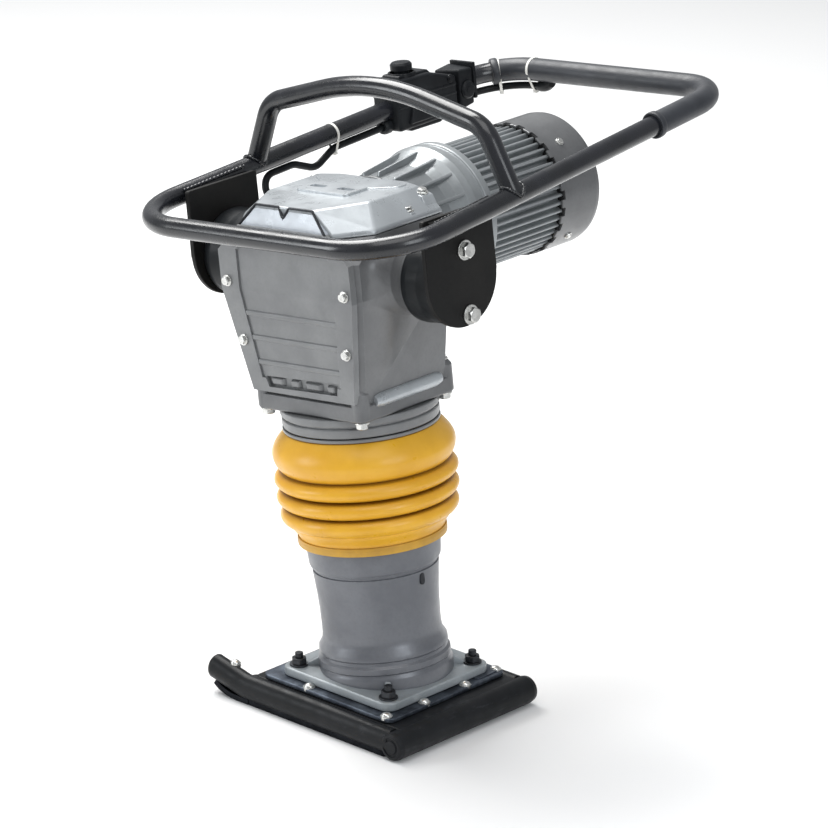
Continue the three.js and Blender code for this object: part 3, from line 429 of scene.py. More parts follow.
def baked(made):
    """The object's mesh with its modifiers applied, and the object gone."""
    graph = bpy.context.evaluated_depsgraph_get()
    graph.update()
    mesh = bpy.data.meshes.new_from_object(made.evaluated_get(graph), depsgraph=graph)
    bpy.data.objects.remove(made)
    return mesh


def combine(how, base, *tools):
    made = object_of(base)
    helpers = []
    for tool in tools:
        helper = object_of(tool)
        helpers.append(helper)
        step = made.modifiers.new("combine", "BOOLEAN")
        step.operation = how
        step.solver = "EXACT"
        step.object = helper
    mesh = baked(made)
    for helper in helpers:
        bpy.data.objects.remove(helper)
    return mesh


def union(*meshes):
    return combine("UNION", *meshes)


def minus(base, *tools):
    return combine("DIFFERENCE", base, *tools)


def softened(mesh, width, segments=3, angle=28):
    """Edges sharper than the angle, rounded off by width."""
    made = object_of(mesh)
    step = made.modifiers.new("soften", "BEVEL")
    step.width = width
    step.segments = segments
    step.limit_method = "ANGLE"
    step.angle_limit = radians(angle)
    step.use_clamp_overlap = True
    return baked(made)


def slab(outline, low, high, width, segments=3):
    """A flat plate between two heights with softened edges."""
    return softened(prism(outline, "Z", low, high), width, segments)


def brick(xs, ys, zs, width, segments):
    """A box with softened edges."""
    return softened(hull([(x, y, z) for x in xs for y in ys for z in zs]), width, segments)


def merged(*meshes):
    made = bmesh.new()
    for mesh in meshes:
        made.from_mesh(mesh)
    return finished(made)


def stand(name, mesh, body, finish, nodes=(), matrix=MACHINE, sharp=32):
    """Puts a finished mesh in the scene on its CAD body, standing for the CAD nodes named."""
    mesh.transform(matrix)
    mesh.shade_smooth()
    mesh.set_sharp_from_angle(angle=radians(sharp))
    mesh.materials.clear()
    mesh.materials.append(MATERIALS[finish])
    made = object_of(mesh, name)
    weighted = made.modifiers.new("even_shading", "WEIGHTED_NORMAL")
    weighted.keep_sharp = True
    if body:
        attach(made, body)
    if nodes:
        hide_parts(*nodes)
    return made


def hex_bolt(head_r, head_height, washer_r, stub):
    """A hex-head bolt along +Z, with a chamfered head and a domed washer, seated at z = 0."""
    side = head_r * cos(pi / 6)
    corners = [(head_r * cos(k * pi / 3), head_r * sin(k * pi / 3))
               for k in range(6)]
    head = prism(corners, "Z", 1.5, head_height)
    dome = lathe([(0, 0), (head_r * 1.2, 0), (head_r * 1.2, head_height - 2.6),
                  (side * 0.93, head_height), (0, head_height)], steps=36)
    head = softened(combine("INTERSECT", head, dome), 0.35, 2)
    washer = lathe(fillet([(0, -0.2, 0), (washer_r, -0.2), (washer_r, 2.2), (0, 2.2, 0)], 0.6, 3),
                   steps=40)
    shank = lathe([(0, -stub), (head_r * 0.6, -stub), (head_r * 0.6, 1), (0, 1)], steps=24)
    return merged(head, washer, shank)


def at(x, y, z, turn=None, angle=0.0):
    placed = Matrix.Translation((x, y, z))
    return placed @ Matrix.Rotation(angle, 4, turn) if turn else placed


# ------------------------------------------------------------------ shoe
BED_FRONT = -131
RUNNER_Y = 118.6
RUNNER_R = 13.7


def make_shoe():
    parts = [slab(rect(BED_FRONT, 120, -113, 113, 8), 8.4, 38, 3, 3)]
    for side in (-1, 1):
        y = side * RUNNER_Y
        path = bent([(124, y, 21.5, 0), (-138, y, 21.5, 60), (-190, y, 33.5, 0)], 12, 12)
        sizes = [RUNNER_R] * len(path)
        last, along = path[-1]
        for k in range(1, 9):
            turn = radians(90 * k / 8.4)
            path.append((last + along * (13.6 * sin(turn)), along))
            sizes.append(RUNNER_R * cos(turn))
        sizes = [min(13.8, r + 1.6 * exp(-((spot.x + 192) / 16) ** 2) if r > 13 else r * 1.11)
                 for r, (spot, _) in zip(sizes, path)]
        parts.append(sweep(path, sizes, 32, flat=1.26))
        root = [(x, y, z) for x, inner in ((BED_FRONT, 104), (-118, 100)) for y in (inner, 124)
                for z in (9, 37)] + [(-148, 117, 14), (-148, 117, 34)]
        parts.append(softened(hull([(x, side * y, z) for x, y, z in root]), 3, 3))
    roll = [(0, -132.3, 0), (9, -132.3, 1), (9.5, -130.6, 0.4), (12.6, -130.6, 0.4),
            (13, -132.2, 1), (17.2, -131.6, 3), (18.9, -124, 8), (18.9, 124, 8),
            (17.2, 131.6, 3), (13, 132.2, 1), (12.6, 130.6, 0.4), (9.5, 130.6, 0.4),
            (9, 132.3, 1), (0, 132.3, 0)]
    parts.append(lathe(fillet(roll, 1, 4), "Y", (132, 0, 19.5), 56))
    parts.append(slab(rect(100, 134, -112, 112, 4), 24, 38.2, 2, 3))
    stand("shoe_block_body", merged(*parts), "foot", "shoe_black", ["shoe_block"], UPRIGHT, 40)
    flat = slab(rect(BED_FRONT, 118, -127, 127, 6), 0, 8, 1.2, 2)
    curl = [(-128, 0), (-128, 8), (-150, 8), (-160, 8.6), (-170, 11.2), (-179, 15), (-187, 20),
            (-192, 13), (-182, 6.5), (-170, 2.4), (-160, 0.6), (-150, 0)]
    skids = [softened(prism(curl, "Y", y - 9, y + 8.5), 1.2, 2, 40) for y in (-118.5, 118.5)]
    stand("shoe_sole_plate", merged(flat, *skids), "foot", "sole_dark", ["shoe_sole"],
          UPRIGHT, 40)
    plate = slab(rect(-118, 112, -112, 112, 12), 38.9, 44.9, 1.4, 3)
    skid = slab(rect(54, 106, 62, 106, 8), 44.4, 46.4, 0.8, 2)
    stand("shoe_top_plate_steel", merged(plate, skid), "foot", "worn_steel", ["shoe_top_plate"],
          UPRIGHT)
    dome = [(0, 0), (6.6, 0), (6.5, 1.4), (5.4, 3.0), (3.1, 4.1), (0, 4.5)]
    spots = [(x, y, 44.7) for x, y in ((-39, -104), (99, -104), (104, -38), (104, 40), (-39, 104),
                                       (99, 104))]
    rivets = []
    for spot in spots + [(-165, -113, 44.2), (-165, 113, 44.2)]:
        washer = lathe([(0, -3), (8.2, -3), (8.0, 1.2), (0, 1.2)], steps=32)
        rivet = merged(washer, moved(lathe(dome, steps=32), at(0, 0, 1.0)))
        rivets.append(moved(rivet, at(*spot)))
    stand("shoe_rivets", merged(*rivets), "foot", "zinc", (), UPRIGHT)


# ------------------------------------------------------------------ leg
FLANGE_TOP = 57.2
STUDS = [(x, y) for x in (-80, 80) for y in (-80, 80)]


def make_leg():
    profile = [(0, -30), (89, -30), (89, 4), (86, 8), (85.4, 11), (87, 13), (86.6, 20), (83.4, 23),
               (82.8, 27), (84.6, 29.5), (84.0, 36), (79.2, 44), (77.9, 52), (77.7, 62),
               (78.3, 84), (79.5, 104), (81.2, 124), (82.6, 137), (82.6, 139), (80.9, 140),
               (80.9, 143.4),
               (84.4, 145), (86.2, 149), (87.6, 165), (88.6, 180), (88.8, 199), (87.8, 200.4),
               (61, 200.4), (60, 199.4), (60, 14), (0, 14)]
    upright = lathe(profile, steps=128)
    upright.transform(MACHINE)
    upright.transform(Matrix.Scale(1000, 4))
    below = prism(rect(-300, 300, -300, 300), "Z", -200, 46)
    leg = minus(upright, below)
    flange = slab(rect(-98, 98, -98, 98, 16, 6), 45.2, FLANGE_TOP, 2.2, 3)
    top = FLANGE_TOP + 0.2
    pads = [lathe(fillet([(0, 46, 0), (18, 46), (16.4, top), (0, top, 0)], 0.8, 3),
                  at=(x, y, 0), steps=40) for x, y in STUDS]
    webs = []
    for k in range(4):
        outline = [(84, FLANGE_TOP - 1), (108, FLANGE_TOP - 1), (104, FLANGE_TOP + 3),
                   (84, FLANGE_TOP + 14)]
        web = softened(prism(outline, "Y", -4, 4), 1.5, 2)
        webs.append(moved(web, Matrix.Rotation(radians(45 + 90 * k), 4, "Z")))
    stand("leg_casting_body", leg, "foot", "leg_grey", ["leg_casting"], UPRIGHT, 38)
    # Flange and pads in the lighter copy of the leg paint: painted highlight.
    stand("foot_flange_plate", union(flange, *webs), "foot", "cast_pale", (), UPRIGHT, 38)
    stand("leg_washer_pads", merged(*pads), "foot", "cast_pale", (), UPRIGHT, 32)
    slot = softened(prism(fillet([(-4.2, 121), (4.2, 121), (4.2, 137), (-4.2, 137)], 4.1, 5),
                          "X", 79.6, 83.0), 0.7, 2)
    stand("leg_oil_slot", merged(slot), "foot", "dark_steel", (), MACHINE)
    nuts = []
    for x, y in STUDS:
        nut = hex_bolt(10.5, 10.5, 12.5, 4)
        stud = lathe(fillet([(0, 8, 0), (5.4, 8), (5.4, 17.5), (0, 17.5, 0)], 0.9, 3), steps=28)
        nuts.append(moved(merged(nut, stud), at(x, y, FLANGE_TOP + 0.4, "Z", 0.3)))
    stand("foot_nuts_and_studs", merged(*nuts), "foot", "dark_steel",
          [f"foot_bolt_{k}" for k in (1, 2, 3, 4)], UPRIGHT)


# ------------------------------------------------------------------ bellows and collar
def bellows_radius(z):
    """Outer radius of the bellows at a height: a sloping shoulder and ridges between grooves."""
    if z <= 188:
        return 95.8
    if z >= 331:
        return 98.6
    if z > 300:
        t = (331 - z) / 31
        return 98.6 + 20.9 * (1 - (1 - t) ** 1.7)
    if z < 205:
        t = (z - 188) / 17
        return 95.8 + 9.2 * t * t * (3 - 2 * t)
    edges = [205.0, 229.0, 253.0, 277.0, 323.0]
    grooves = [105.0, 106.0, 106.6, 107.0, 107.0]
    crests = [116.6, 119.0, 120.0, 119.5]
    for k, crest in enumerate(crests):
        if edges[k] <= z <= edges[k + 1]:
            t = (z - edges[k]) / (edges[k + 1] - edges[k])
            base = grooves[k] + (grooves[k + 1] - grooves[k]) * t
            return base + (crest - base) * sin(pi * t) ** 0.62
    return 98.6


def make_bellows():
    heights = [177.5 + 0.9 * k for k in range(int((333.6 - 177.5) / 0.9) + 1)]
    outer = [(bellows_radius(z), z) for z in heights]
    inner = [(r - 3.0, z) for r, z in reversed(outer)]
    skin = lathe(outer + inner, steps=128)
    made = stand("bellows_skin", skin, None, "bellows_yellow", ["bellows"], MACHINE, 50)
    made.modifiers.clear()
    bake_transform(made)
    band = lathe(fillet([(93.4, 176.8), (97.4, 176.8), (97.9, 183.0), (97.4, 187.6),
                         (93.4, 187.6)], 0.7, 3), steps=112)
    screw = slab(rect(97.4, 106.0, -5, 5, 2), 177.4, 187.0, 1.0, 2)
    screw = moved(screw, Matrix.Rotation(radians(100), 4, "Z"))
    stand("bellows_lower_band", merged(band, screw), "foot", "cuff_yellow",
          ["bellows_lower_clamp"], MACHINE, 32)
    clip = fillet([(98.7, 329.8), (102.4, 329.8), (103.0, 334.6), (98.7, 334.6)], 1.4, 4)
    stand("bellows_upper_band", lathe(clip, steps=112), "housing", "cast_grey",
          ["bellows_upper_clamp"])
    collar = [(50, 160), (56, 160), (56, 335), (98, 335), (101.2, 336.4), (102.4, 339),
              (102.4, 347), (101.4, 348.4), (99.4, 349.2), (99.4, 350.6), (103.0, 352),
              (104.0, 354), (104.0, 360.4), (103.2, 361.6), (50, 361.6)]
    stand("guide_collar", lathe(collar, steps=128), "housing", "cast_grey", ["guide_tube"])


# ------------------------------------------------------------------ gearcase
MOUNT_Z = 539
MOTOR_Z = 563
MOTOR = (0, 0, MOTOR_Z)
POSTS = [(x, y) for x in (-84, 84) for y in (-82, 72)]


def case_front(z):
    return -102 + max(0.0, 526 - z) * (14 / 149)


def case_level(half, front, rear, cx, cy, z):
    return [(-half + cx, front, z), (half - cx, front, z), (half, front + cy, z), (half, rear, z),
            (-half, rear, z), (-half, front + cy, z)]


def make_gearcase():
    body = union(
        hull(case_level(91, -88, 66, 8, 8, 377) + case_level(117, -102, 66, 9, 9, 526)),
        hull(case_level(117, -102, 66, 9, 9, 525.9) + case_level(117, -102, 66, 9, 9, 574)
             + case_level(117, -102, 66, 36, 43, 604)),
    )
    body = softened(body, 4.0, 4, 20)
    flange = slab(rect(-96, 96, -94, 84, 12, 5), 362.4, 384, 3.0, 4)
    bars = []
    for side in (-1, 1):
        ends = bent([(side * 92, -66, 386), (side * 92, 56, 386)], 8, 10)
        sizes = [9.6] * len(ends)
        sizes[0] = sizes[-1] = 7.4
        bars.append(sweep(ends, sizes, 24))
    posts = []
    for x, y in POSTS:
        post = fillet([(0, 363, 0), (12.4, 363), (12.4, 399), (8.4, 404.5), (0, 406, 0)], 3, 4)
        posts.append(lathe(post, at=(x, y, 0), steps=40))
    bosses = []
    for side in (-1, 1):
        ring = [(0, 88, 0), (66, 88), (60, 100), (50, 118, 14), (47.5, 124), (47.5, 140, 3),
                (50.5, 141.5), (50.5, 145, 2), (0, 145, 0)]
        outline = [(r, side * h) for r, h in fillet(ring, 4, 4)]
        bosses.append(lathe(outline, "X", (0, 0, MOUNT_Z), 72))
    rear_ring = lathe(fillet([(0, 60, 0), (80, 60), (78, 66.1), (0, 66.1, 0)], 2, 3), "Y",
                      MOTOR, 72)
    case = union(body, flange, *posts, *bosses, rear_ring)
    webs = []
    for x in (-60, 0, 60):
        web = hull([(x + dx, y, z) for dx in (-3, 3)
                    for y, z in ((60, 384), (82, 384), (78, 392), (67, 430), (60, 430))])
        webs.append(softened(web, 1.2, 2))
    stand("gearcase_body", case, "housing", "cast_light", ["gearcase"], MACHINE, 30)
    stand("gearcase_webs", merged(*webs), "housing", "cast_light")
    # Flange bars in the lighter top paint: painted highlight.
    stand("gearcase_flange_bars", merged(*bars), "housing", "top_light", (), MACHINE, 32)
    bolts = []
    for x, y in POSTS:
        bolts.append(moved(hex_bolt(8.4, 9, 10, 3), at(x, y, 362.0, "X", pi)))
        bolts.append(moved(hex_bolt(6.6, 6, 8.2, 2), at(x, y, 405.4)))
    stand("case_bolts", merged(*bolts), "housing", "zinc",
          [f"case_bolt_{k}" for k in (1, 2, 3, 4)])


def panel(outline, near, far):
    """A flat panel on the case's sloping front, from near to far millimetres proud of it."""
    return hull([(x, case_front(z) - d, z) for x, z in outline for d in (near, far)])


def make_front_cover():
    lower = [(-90, 389), (90, 389), (116, 526), (-116, 526)]
    middle = [(-116, 525.8), (116, 525.8), (116, 576), (76, 612), (-76, 612), (-116, 576)]
    plate = union(panel(lower, 0.3, 10), panel(middle, 0.3, 10))
    pocket = panel([(-70, 408), (70, 408), (84, 526), (-84, 526)], 7.4, 20)
    flat = panel([(-84, 525.5), (84, 525.5), (84, 590), (-84, 590)], 7.4, 20)
    hollow = panel([(-60, 396), (62, 398), (66, 414), (30, 411), (-64, 410)], 3.6, 20)
    plate = minus(plate, union(pocket, flat), hollow)
    plate = softened(plate, 1.7, 3, 20)
    ribs = []
    for z in (424, 457, 490):
        half = 71 + (z - 408) * 0.118
        rib = hull([(x, case_front(h) - d, h) for x in (-half, half)
                    for h, d in ((z, 6.5), (z + 10, 6.5), (z + 2.0, 9.6), (z + 7, 9.6))])
        ribs.append(softened(rib, 1.3, 3))
    lumps = []
    for x, w in ((-46, 13), (-14, 9), (18, 16), (50, 8)):
        lump = hull([(x + dx * s, case_front(h) - d, h) for dx in (-w, w)
                     for h, d, s in ((398, 3, 1), (410, 3, 1), (401, 8.6, 0.6), (408, 8.6, 0.7))])
        lumps.append(softened(lump, 1.4, 2))
    corners = []
    for side in (-1, 1):
        block = hull([(side * x, case_front(z) - d, z) for z in (579, 601)
                      for x, d in ((78, 4), (103, 4), (80, 10.4), (99, 10.4))])
        corners.append(softened(block, 2.0, 3))
    stand("front_cover_plate", merged(plate, *ribs, *lumps, *corners), "housing", "cast_grey",
          ["front_cover"], MACHINE, 30)
    bolts = []
    for side in (-1, 1):
        for x, z, slope in ((104, 536, 0.0), (92, 457, 0.094)):
            tilt = pi / 2 - atan(slope)
            bolts.append(moved(hex_bolt(6.2, 6.4, 7.6, 2),
                               at(side * x, case_front(z) - 9.8, z, "X", tilt)))
    stand("front_cover_bolts", merged(*bolts), "housing", "zinc", (), MACHINE)


def roof_points(low, high):
    eaves = [(81, -101), (117, -59), (117, 66)]
    ridge = [(50, -101), (88, -35), (88, 55), (56, 66)]
    return [(side * x, y, z) for outline, heights in ((eaves, (low, low + 6)), (ridge, (high,)))
            for x, y in outline for z in heights for side in (1, -1)]


def make_top_cover():
    roof = softened(hull(roof_points(604.3, 640)), 4.5, 4, 12)
    crown = []
    for side in (-1, 1):
        outline = [(0, 596), (0, 624), (9, 638), (50, 638), (76, 612), (76, 596)]
        front = [(side * x, y, z) for x, z in outline
                 for y in (-98.0, -112.0 + max(0.0, (z - 600)) * 0.32)]
        crown.append(hull(front))
    crown = softened(union(*crown), 1.6, 3, 20)
    line = [(-76, 612.5), (-50, 639.5), (-9, 639.5), (0, 625.5), (9, 639.5), (50, 639.5),
            (76, 612.5)]
    contour = sweep(bent([(x, -112.4 + (z - 600) * 0.32, z - 0.8, 2.5) for x, z in line], 4, 20),
                    1.8, 12)
    breather = slab(rect(-48, 42, -30, 14, 6), 638, 643.4, 1.6, 3)
    slots = [prism(rect(x - 13, x + 13, -13, -3, 3), "Z", 639.2, 660) for x in (-27, 21)]
    breather = minus(breather, *slots)
    pads = [slab(rect(x - 13, x + 13, -13, -3, 3), 638, 640.4, 0.5, 2)
            for x in (-27, 21)]
    step = softened(prism(fillet([(-44, 14), (44, 14), (74, 34), (74, 54), (-74, 54), (-74, 34)],
                                 8, 4), "Z", 637, 641.6), 1.8, 3)
    lugs = []
    for side in (-1, 1):
        lug = hull([(side * x, y, z) for x, front, z in (
            (84, 40, 612), (116, 40, 606), (86, 44, 634), (104, 44, 629)) for y in (front, 65)])
        lugs.append(softened(lug, 2.6, 3))
        lugs.append(lathe(fillet([(0, 604, 0), (11, 604), (10, 616), (0, 617, 0)], 2.5, 3),
                          at=(side * 104, 16, 0), steps=36))
    # Top cover in the lighter top paint: painted highlight.
    stand("top_cover_shell", merged(union(roof, breather, step), *pads, *lugs), "housing",
          "top_light", ["top_cover"], MACHINE, 30)
    # Crown in its brightened paint: painted highlight.
    stand("front_crown", crown, "housing", "crown_white", (), MACHINE, 30)
    stand("crown_gasket", contour, "housing", "dark_steel")
    bolts = []
    for side in (-1, 1):
        bolts.append(moved(hex_bolt(6.2, 6.5, 8, 3), at(side * 104, 16, 616.4)))
        bolts.append(moved(hex_bolt(6.2, 6.0, 8, 3), at(side * 95, 54, 631.4, "Y", side * 0.27)))
    stand("top_cover_bolts", merged(*bolts), "housing", "zinc")


# ------------------------------------------------------------------ motor
def make_motor():
    ring = fillet([(60, 66.4), (76, 66.4), (77, 76), (79, 100), (81, 122), (86, 137), (93, 147),
                   (96, 157), (96, 168), (93.5, 170, 1), (93.5, 174, 1), (96, 176), (96, 187.6),
                   (60, 187.6)], 3, 4)
    bell = lathe(ring, "Y", MOTOR, 112)
    fins = []
    for k in range(18):
        angle = radians(-8 + k * 360 / 18)
        fin = hull([(x, y, t) for t in (-2.2, 2.2) for x, y in (
            (74, 70), (83, 72), (86.5, 100), (90, 128), (93, 146), (74, 146))])
        fins.append(moved(softened(fin, 1.2, 2), at(0, 0, MOTOR_Z, "Y", angle)))
    stand("motor_front_bell_body", merged(bell, *fins), "housing", "motor_silver",
          ["motor_front_bell"], MACHINE, 32)
    root, tip, count = 76.5, 85.5, 48
    outline = []
    for k in range(count):
        for radius, share in ((root, -0.30), (tip - 1.2, -0.18), (tip, -0.09), (tip, 0.09),
                              (tip - 1.2, 0.18), (root, 0.30)):
            a = radians((k + share) * 360 / count)
            outline.append((radius * cos(a), MOTOR_Z + radius * sin(a)))
    frame_mesh = prism(outline, "Y", 192.0, 331)
    barrel = lathe([(70, 188.4), (76.6, 188.4), (76.6, 331), (70, 331)], "Y", MOTOR, 96)
    stand("motor_frame_finned", merged(frame_mesh, barrel), "housing", "motor_silver",
          ["motor_frame"], MACHINE, 30)
    seat = lathe(fillet([(16.3, 316), (69.7, 316), (69.7, 331.3), (84, 331.3), (84, 337),
                         (16.3, 337)], 1, 3), "Y", MOTOR, 96)
    stand("motor_rear_bell_body", seat, "housing", "cast_grey", ["motor_rear_bell"])
    wall = [(86.6, 321), (89.2, 321), (89.6, 322.4), (89.6, 388), (88.4, 395, 6), (80, 401.6, 4),
            (24, 402, 1), (24, 399.4, 0.4), (79, 398.8, 3), (86.6, 393, 4)]
    cowl = lathe(fillet(wall, 0.6, 4), "Y", MOTOR, 112)
    hub = lathe(fillet([(0, 398.6, 0), (25, 398.6), (23, 401.9), (0, 401.4, 0)], 0.8, 3), "Y",
                MOTOR, 64)
    slot = fillet([(30, -3.1), (74, -4.6), (74, 4.6), (30, 3.1)], 2.4, 4)
    cuts = [moved(prism(slot, "Y", 390, 410),
                  at(0, 0, MOTOR_Z, "Y", radians(11.25 + k * 22.5))) for k in range(16)]
    cuts += [moved(prism(rect(80, 96, -6.2, 6.2, 1.5), "Y", 316, 326.5),
                   at(0, 0, MOTOR_Z, "Y", radians(k * 15))) for k in range(24)]
    cowl = minus(cowl, *cuts)
    stand("fan_cowl_shell", merged(cowl, hub), "housing", "cowl_grey", ["fan_cowl"], MACHINE, 32)
    # A near-black ring behind the rim slots: painted shade inside the slots.
    slot_shade_ring = lathe(fillet([(77, 324.6), (87.4, 324.6), (87.4, 330.8), (77, 330.8)], 0.5, 2), "Y",
                 MOTOR, 96)
    stand("fan_cowl_slot_painted_shade", slot_shade_ring, "housing", "slot_dark", (), MACHINE, 32)
    screws = []
    for k in range(4):
        a = radians(45 + 90 * k)
        screw = moved(hex_bolt(4.4, 4, 5.6, 2), Matrix.Rotation(pi / 2, 4, "Y"))
        spot = at(89.0 * cos(a), 352, MOTOR_Z + 89.0 * sin(a), "Y", -a)
        screws.append(moved(screw, spot))
        b = radians(22.5 + 90 * k)
        face = moved(hex_bolt(5.6, 5, 7.2, 2), Matrix.Rotation(pi / 2, 4, "X"))
        spot = at(86 * cos(b), 157.5, MOTOR_Z + 86 * sin(b))
        screws.append(moved(face, spot))
    stand("motor_screws", merged(*screws), "housing", "zinc")
    box = brick((-129.7, -84), (108, 178), (500, 560), 3, 3)
    ribs = [brick((-126, -88), (107, 179), (h, h + 4), 1, 2) for h in (514, 542)]
    stand("terminal_box_body", merged(box, *ribs), "housing", "motor_silver", ["terminal_box"])
    lid = brick((-136, -130), (108, 178), (500, 560), 2, 3)
    corners = [moved(moved(hex_bolt(3.2, 3.0, 4.2, 1), Matrix.Rotation(-pi / 2, 4, "Y")),
                     at(-135.8, y, z)) for y in (115, 171) for z in (507, 553)]
    cuff = [(5.4, -150), (9.5, -150), (11, -145), (11, -135.5), (5.4, -135.5)]
    gland = lathe(fillet(cuff, 1, 3), "X", (0, 143, 530), 36)
    stand("terminal_lid_plate", merged(lid, *corners, gland), "housing", "motor_silver",
          ["terminal_lid"])


# ------------------------------------------------------------------ handle
TUBE_R = 13.35
FRONT, REAR = -162, 531
FRONT_HALF, REAR_HALF = 242, 204
FRONT_CORNER, REAR_CORNER = 96, 70
LOOP_Z, RISE = 627, 0.079
ARCH_Y = 80
MOTOR_DROP, SUPPLY_DROP = 20.0, 22.7


def half_at(y):
    """Half the loop's width at y, between its rails' centre lines."""
    return FRONT_HALF - (FRONT_HALF - REAR_HALF) * (y - FRONT) / (REAR - FRONT)


def on_loop(x, y, drop=0.0):
    """A point in the loop's sloping plane, or drop below it."""
    return (x, y, LOOP_Z + RISE * y - drop)


def on_rail(side, y, drop=0.0):
    return on_loop(side * half_at(y), y, drop)


def across(dx, y, z):
    """A point dx inward of the left rail's centre line."""
    return (dx - half_at(y), y, z)


def make_tubes():
    rear = [(*on_rail(1, REAR), REAR_CORNER), (*on_rail(-1, REAR), REAR_CORNER)]
    corners = [(*on_rail(-1, 100), 0), (*on_rail(-1, FRONT), FRONT_CORNER),
               (*on_rail(1, FRONT), FRONT_CORNER), *rear, (*on_rail(-1, 100), 0)]
    ring = bent(corners, 20, 40)[:-1]
    loop = sweep(ring, TUBE_R, 36, True)
    beads = []
    for side in (-1, 1):
        centre = Vector(on_rail(side, ARCH_Y))
        stations = []
        for k in range(72):
            a = 2 * pi * k / 72
            r = TUBE_R + 0.8
            spot = centre + Vector((r * cos(a), r * sin(a), TUBE_R * abs(sin(a))))
            stations.append((spot, Vector((-sin(a), cos(a), 0)).normalized()))
        sizes = [2.6 + 0.5 * sin(k * 2.6) for k in range(72)]
        beads.append(sweep(stations, sizes, 10, True))
        for z_off, x_off in ((-8.5, 13.0), (3.0, 14.6)):
            run = [(Vector(on_loop(side * (half_at(y) - x_off), y, z_off)), Vector((0, 1, 0)))
                   for y in range(-60, 48, 2)]
            sizes = [2.2 + 0.45 * sin(k * 1.9) for k in range(len(run))]
            beads.append(sweep(run, sizes, 10))
    stand("handle_loop_tube", merged(loop, *beads), "handle", "black_paint", ["handle_loop"],
          MACHINE, 50)
    reach, y, foot = on_rail(1, ARCH_Y)
    path = bent([(-reach, y, foot + 2), (-190, y, 720, 44), (0, y, 767, 380), (190, y, 720, 44),
                 (reach, y, foot + 2)], 16, 30)
    stand("lifting_arch_tube", sweep(path, TUBE_R, 36), "handle", "black_paint", ["lifting_arch"],
          MACHINE, 50)
    full = bent([on_rail(1, 370), *rear, on_rail(-1, 370)], 20, 12)
    kept = [s for s in full if s[0].x > -180 or s[0].y > 503]
    sizes = []
    length, total = 0.0, path_length(kept)
    for i, (spot, along) in enumerate(kept):
        if i:
            length += (spot - kept[i - 1][0]).length
        end = min(length, total - length)
        sizes.append(15.7 - 0.8 * exp(-end / 1.5))
    sleeve = sweep(kept, sizes, 36)
    rings = []
    for index in (0, len(kept) - 1):
        spot, along = kept[index]
        inward = along if index == 0 else -along
        ring_path = [(spot + inward * d, along) for d in (0, 1.2, 5, 9, 10.2)]
        rings.append(sweep(ring_path, [16.7, 17.9, 18.2, 17.9, 16.7], 36))
    stand("rear_grip_sleeve", merged(sleeve, *rings), "handle", "grip_rubber", ["rear_grip"],
          MACHINE, 50)


def make_mounts():
    for name, side in (("right", 1), ("left", -1)):
        outline = [(-70, 633, 4), (-70, 546), *arc(-7, 546, 63, 180, 360, 40), (56, 546),
                   (56, 633, 4)]
        outline = fillet(outline, 0, 6)
        low, high = sorted((side * 205, side * 212))
        plate = softened(prism(outline, "X", low, high), 1.3, 3)
        lip = softened(hull([(side * x, y, z) for y in (-60, 46) for x, z in (
            (210, 610), (212.4, 610), (216, 617), (216, 628), (210, 632))]), 0.8, 2)
        stand(f"side_plate_{name}_steel", merged(plate, lip), "handle", "plate_paint",
              [f"side_plate_{name}"], MACHINE, 32)
        drum = [(0, 145.3, 0), (52, 145.3, 1), (56.4, 150, 3), (57, 158), (55.6, 175, 18),
                (57, 192), (56.8, 200, 3), (54, 204.7, 1), (0, 204.7, 0)]
        drum = [(r, side * h) for r, h in fillet(drum, 6, 5)]
        buffer = lathe(drum, "X", (0, 0, MOUNT_Z), 80)
        stand(f"rubber_buffer_{name}_body", buffer, "handle", "rubber",
              [f"rubber_buffer_{name}"])
        bolts = [moved(hex_bolt(10.5, 10, 13, 3), at(side * 212.4, 0, z, "Y", side * pi / 2))
                 for z in (497, 581)]
        stand(f"plate_bolts_{name}", merged(*bolts), "handle", "zinc",
              [f"plate_bolt_{name}_1", f"plate_bolt_{name}_2"])


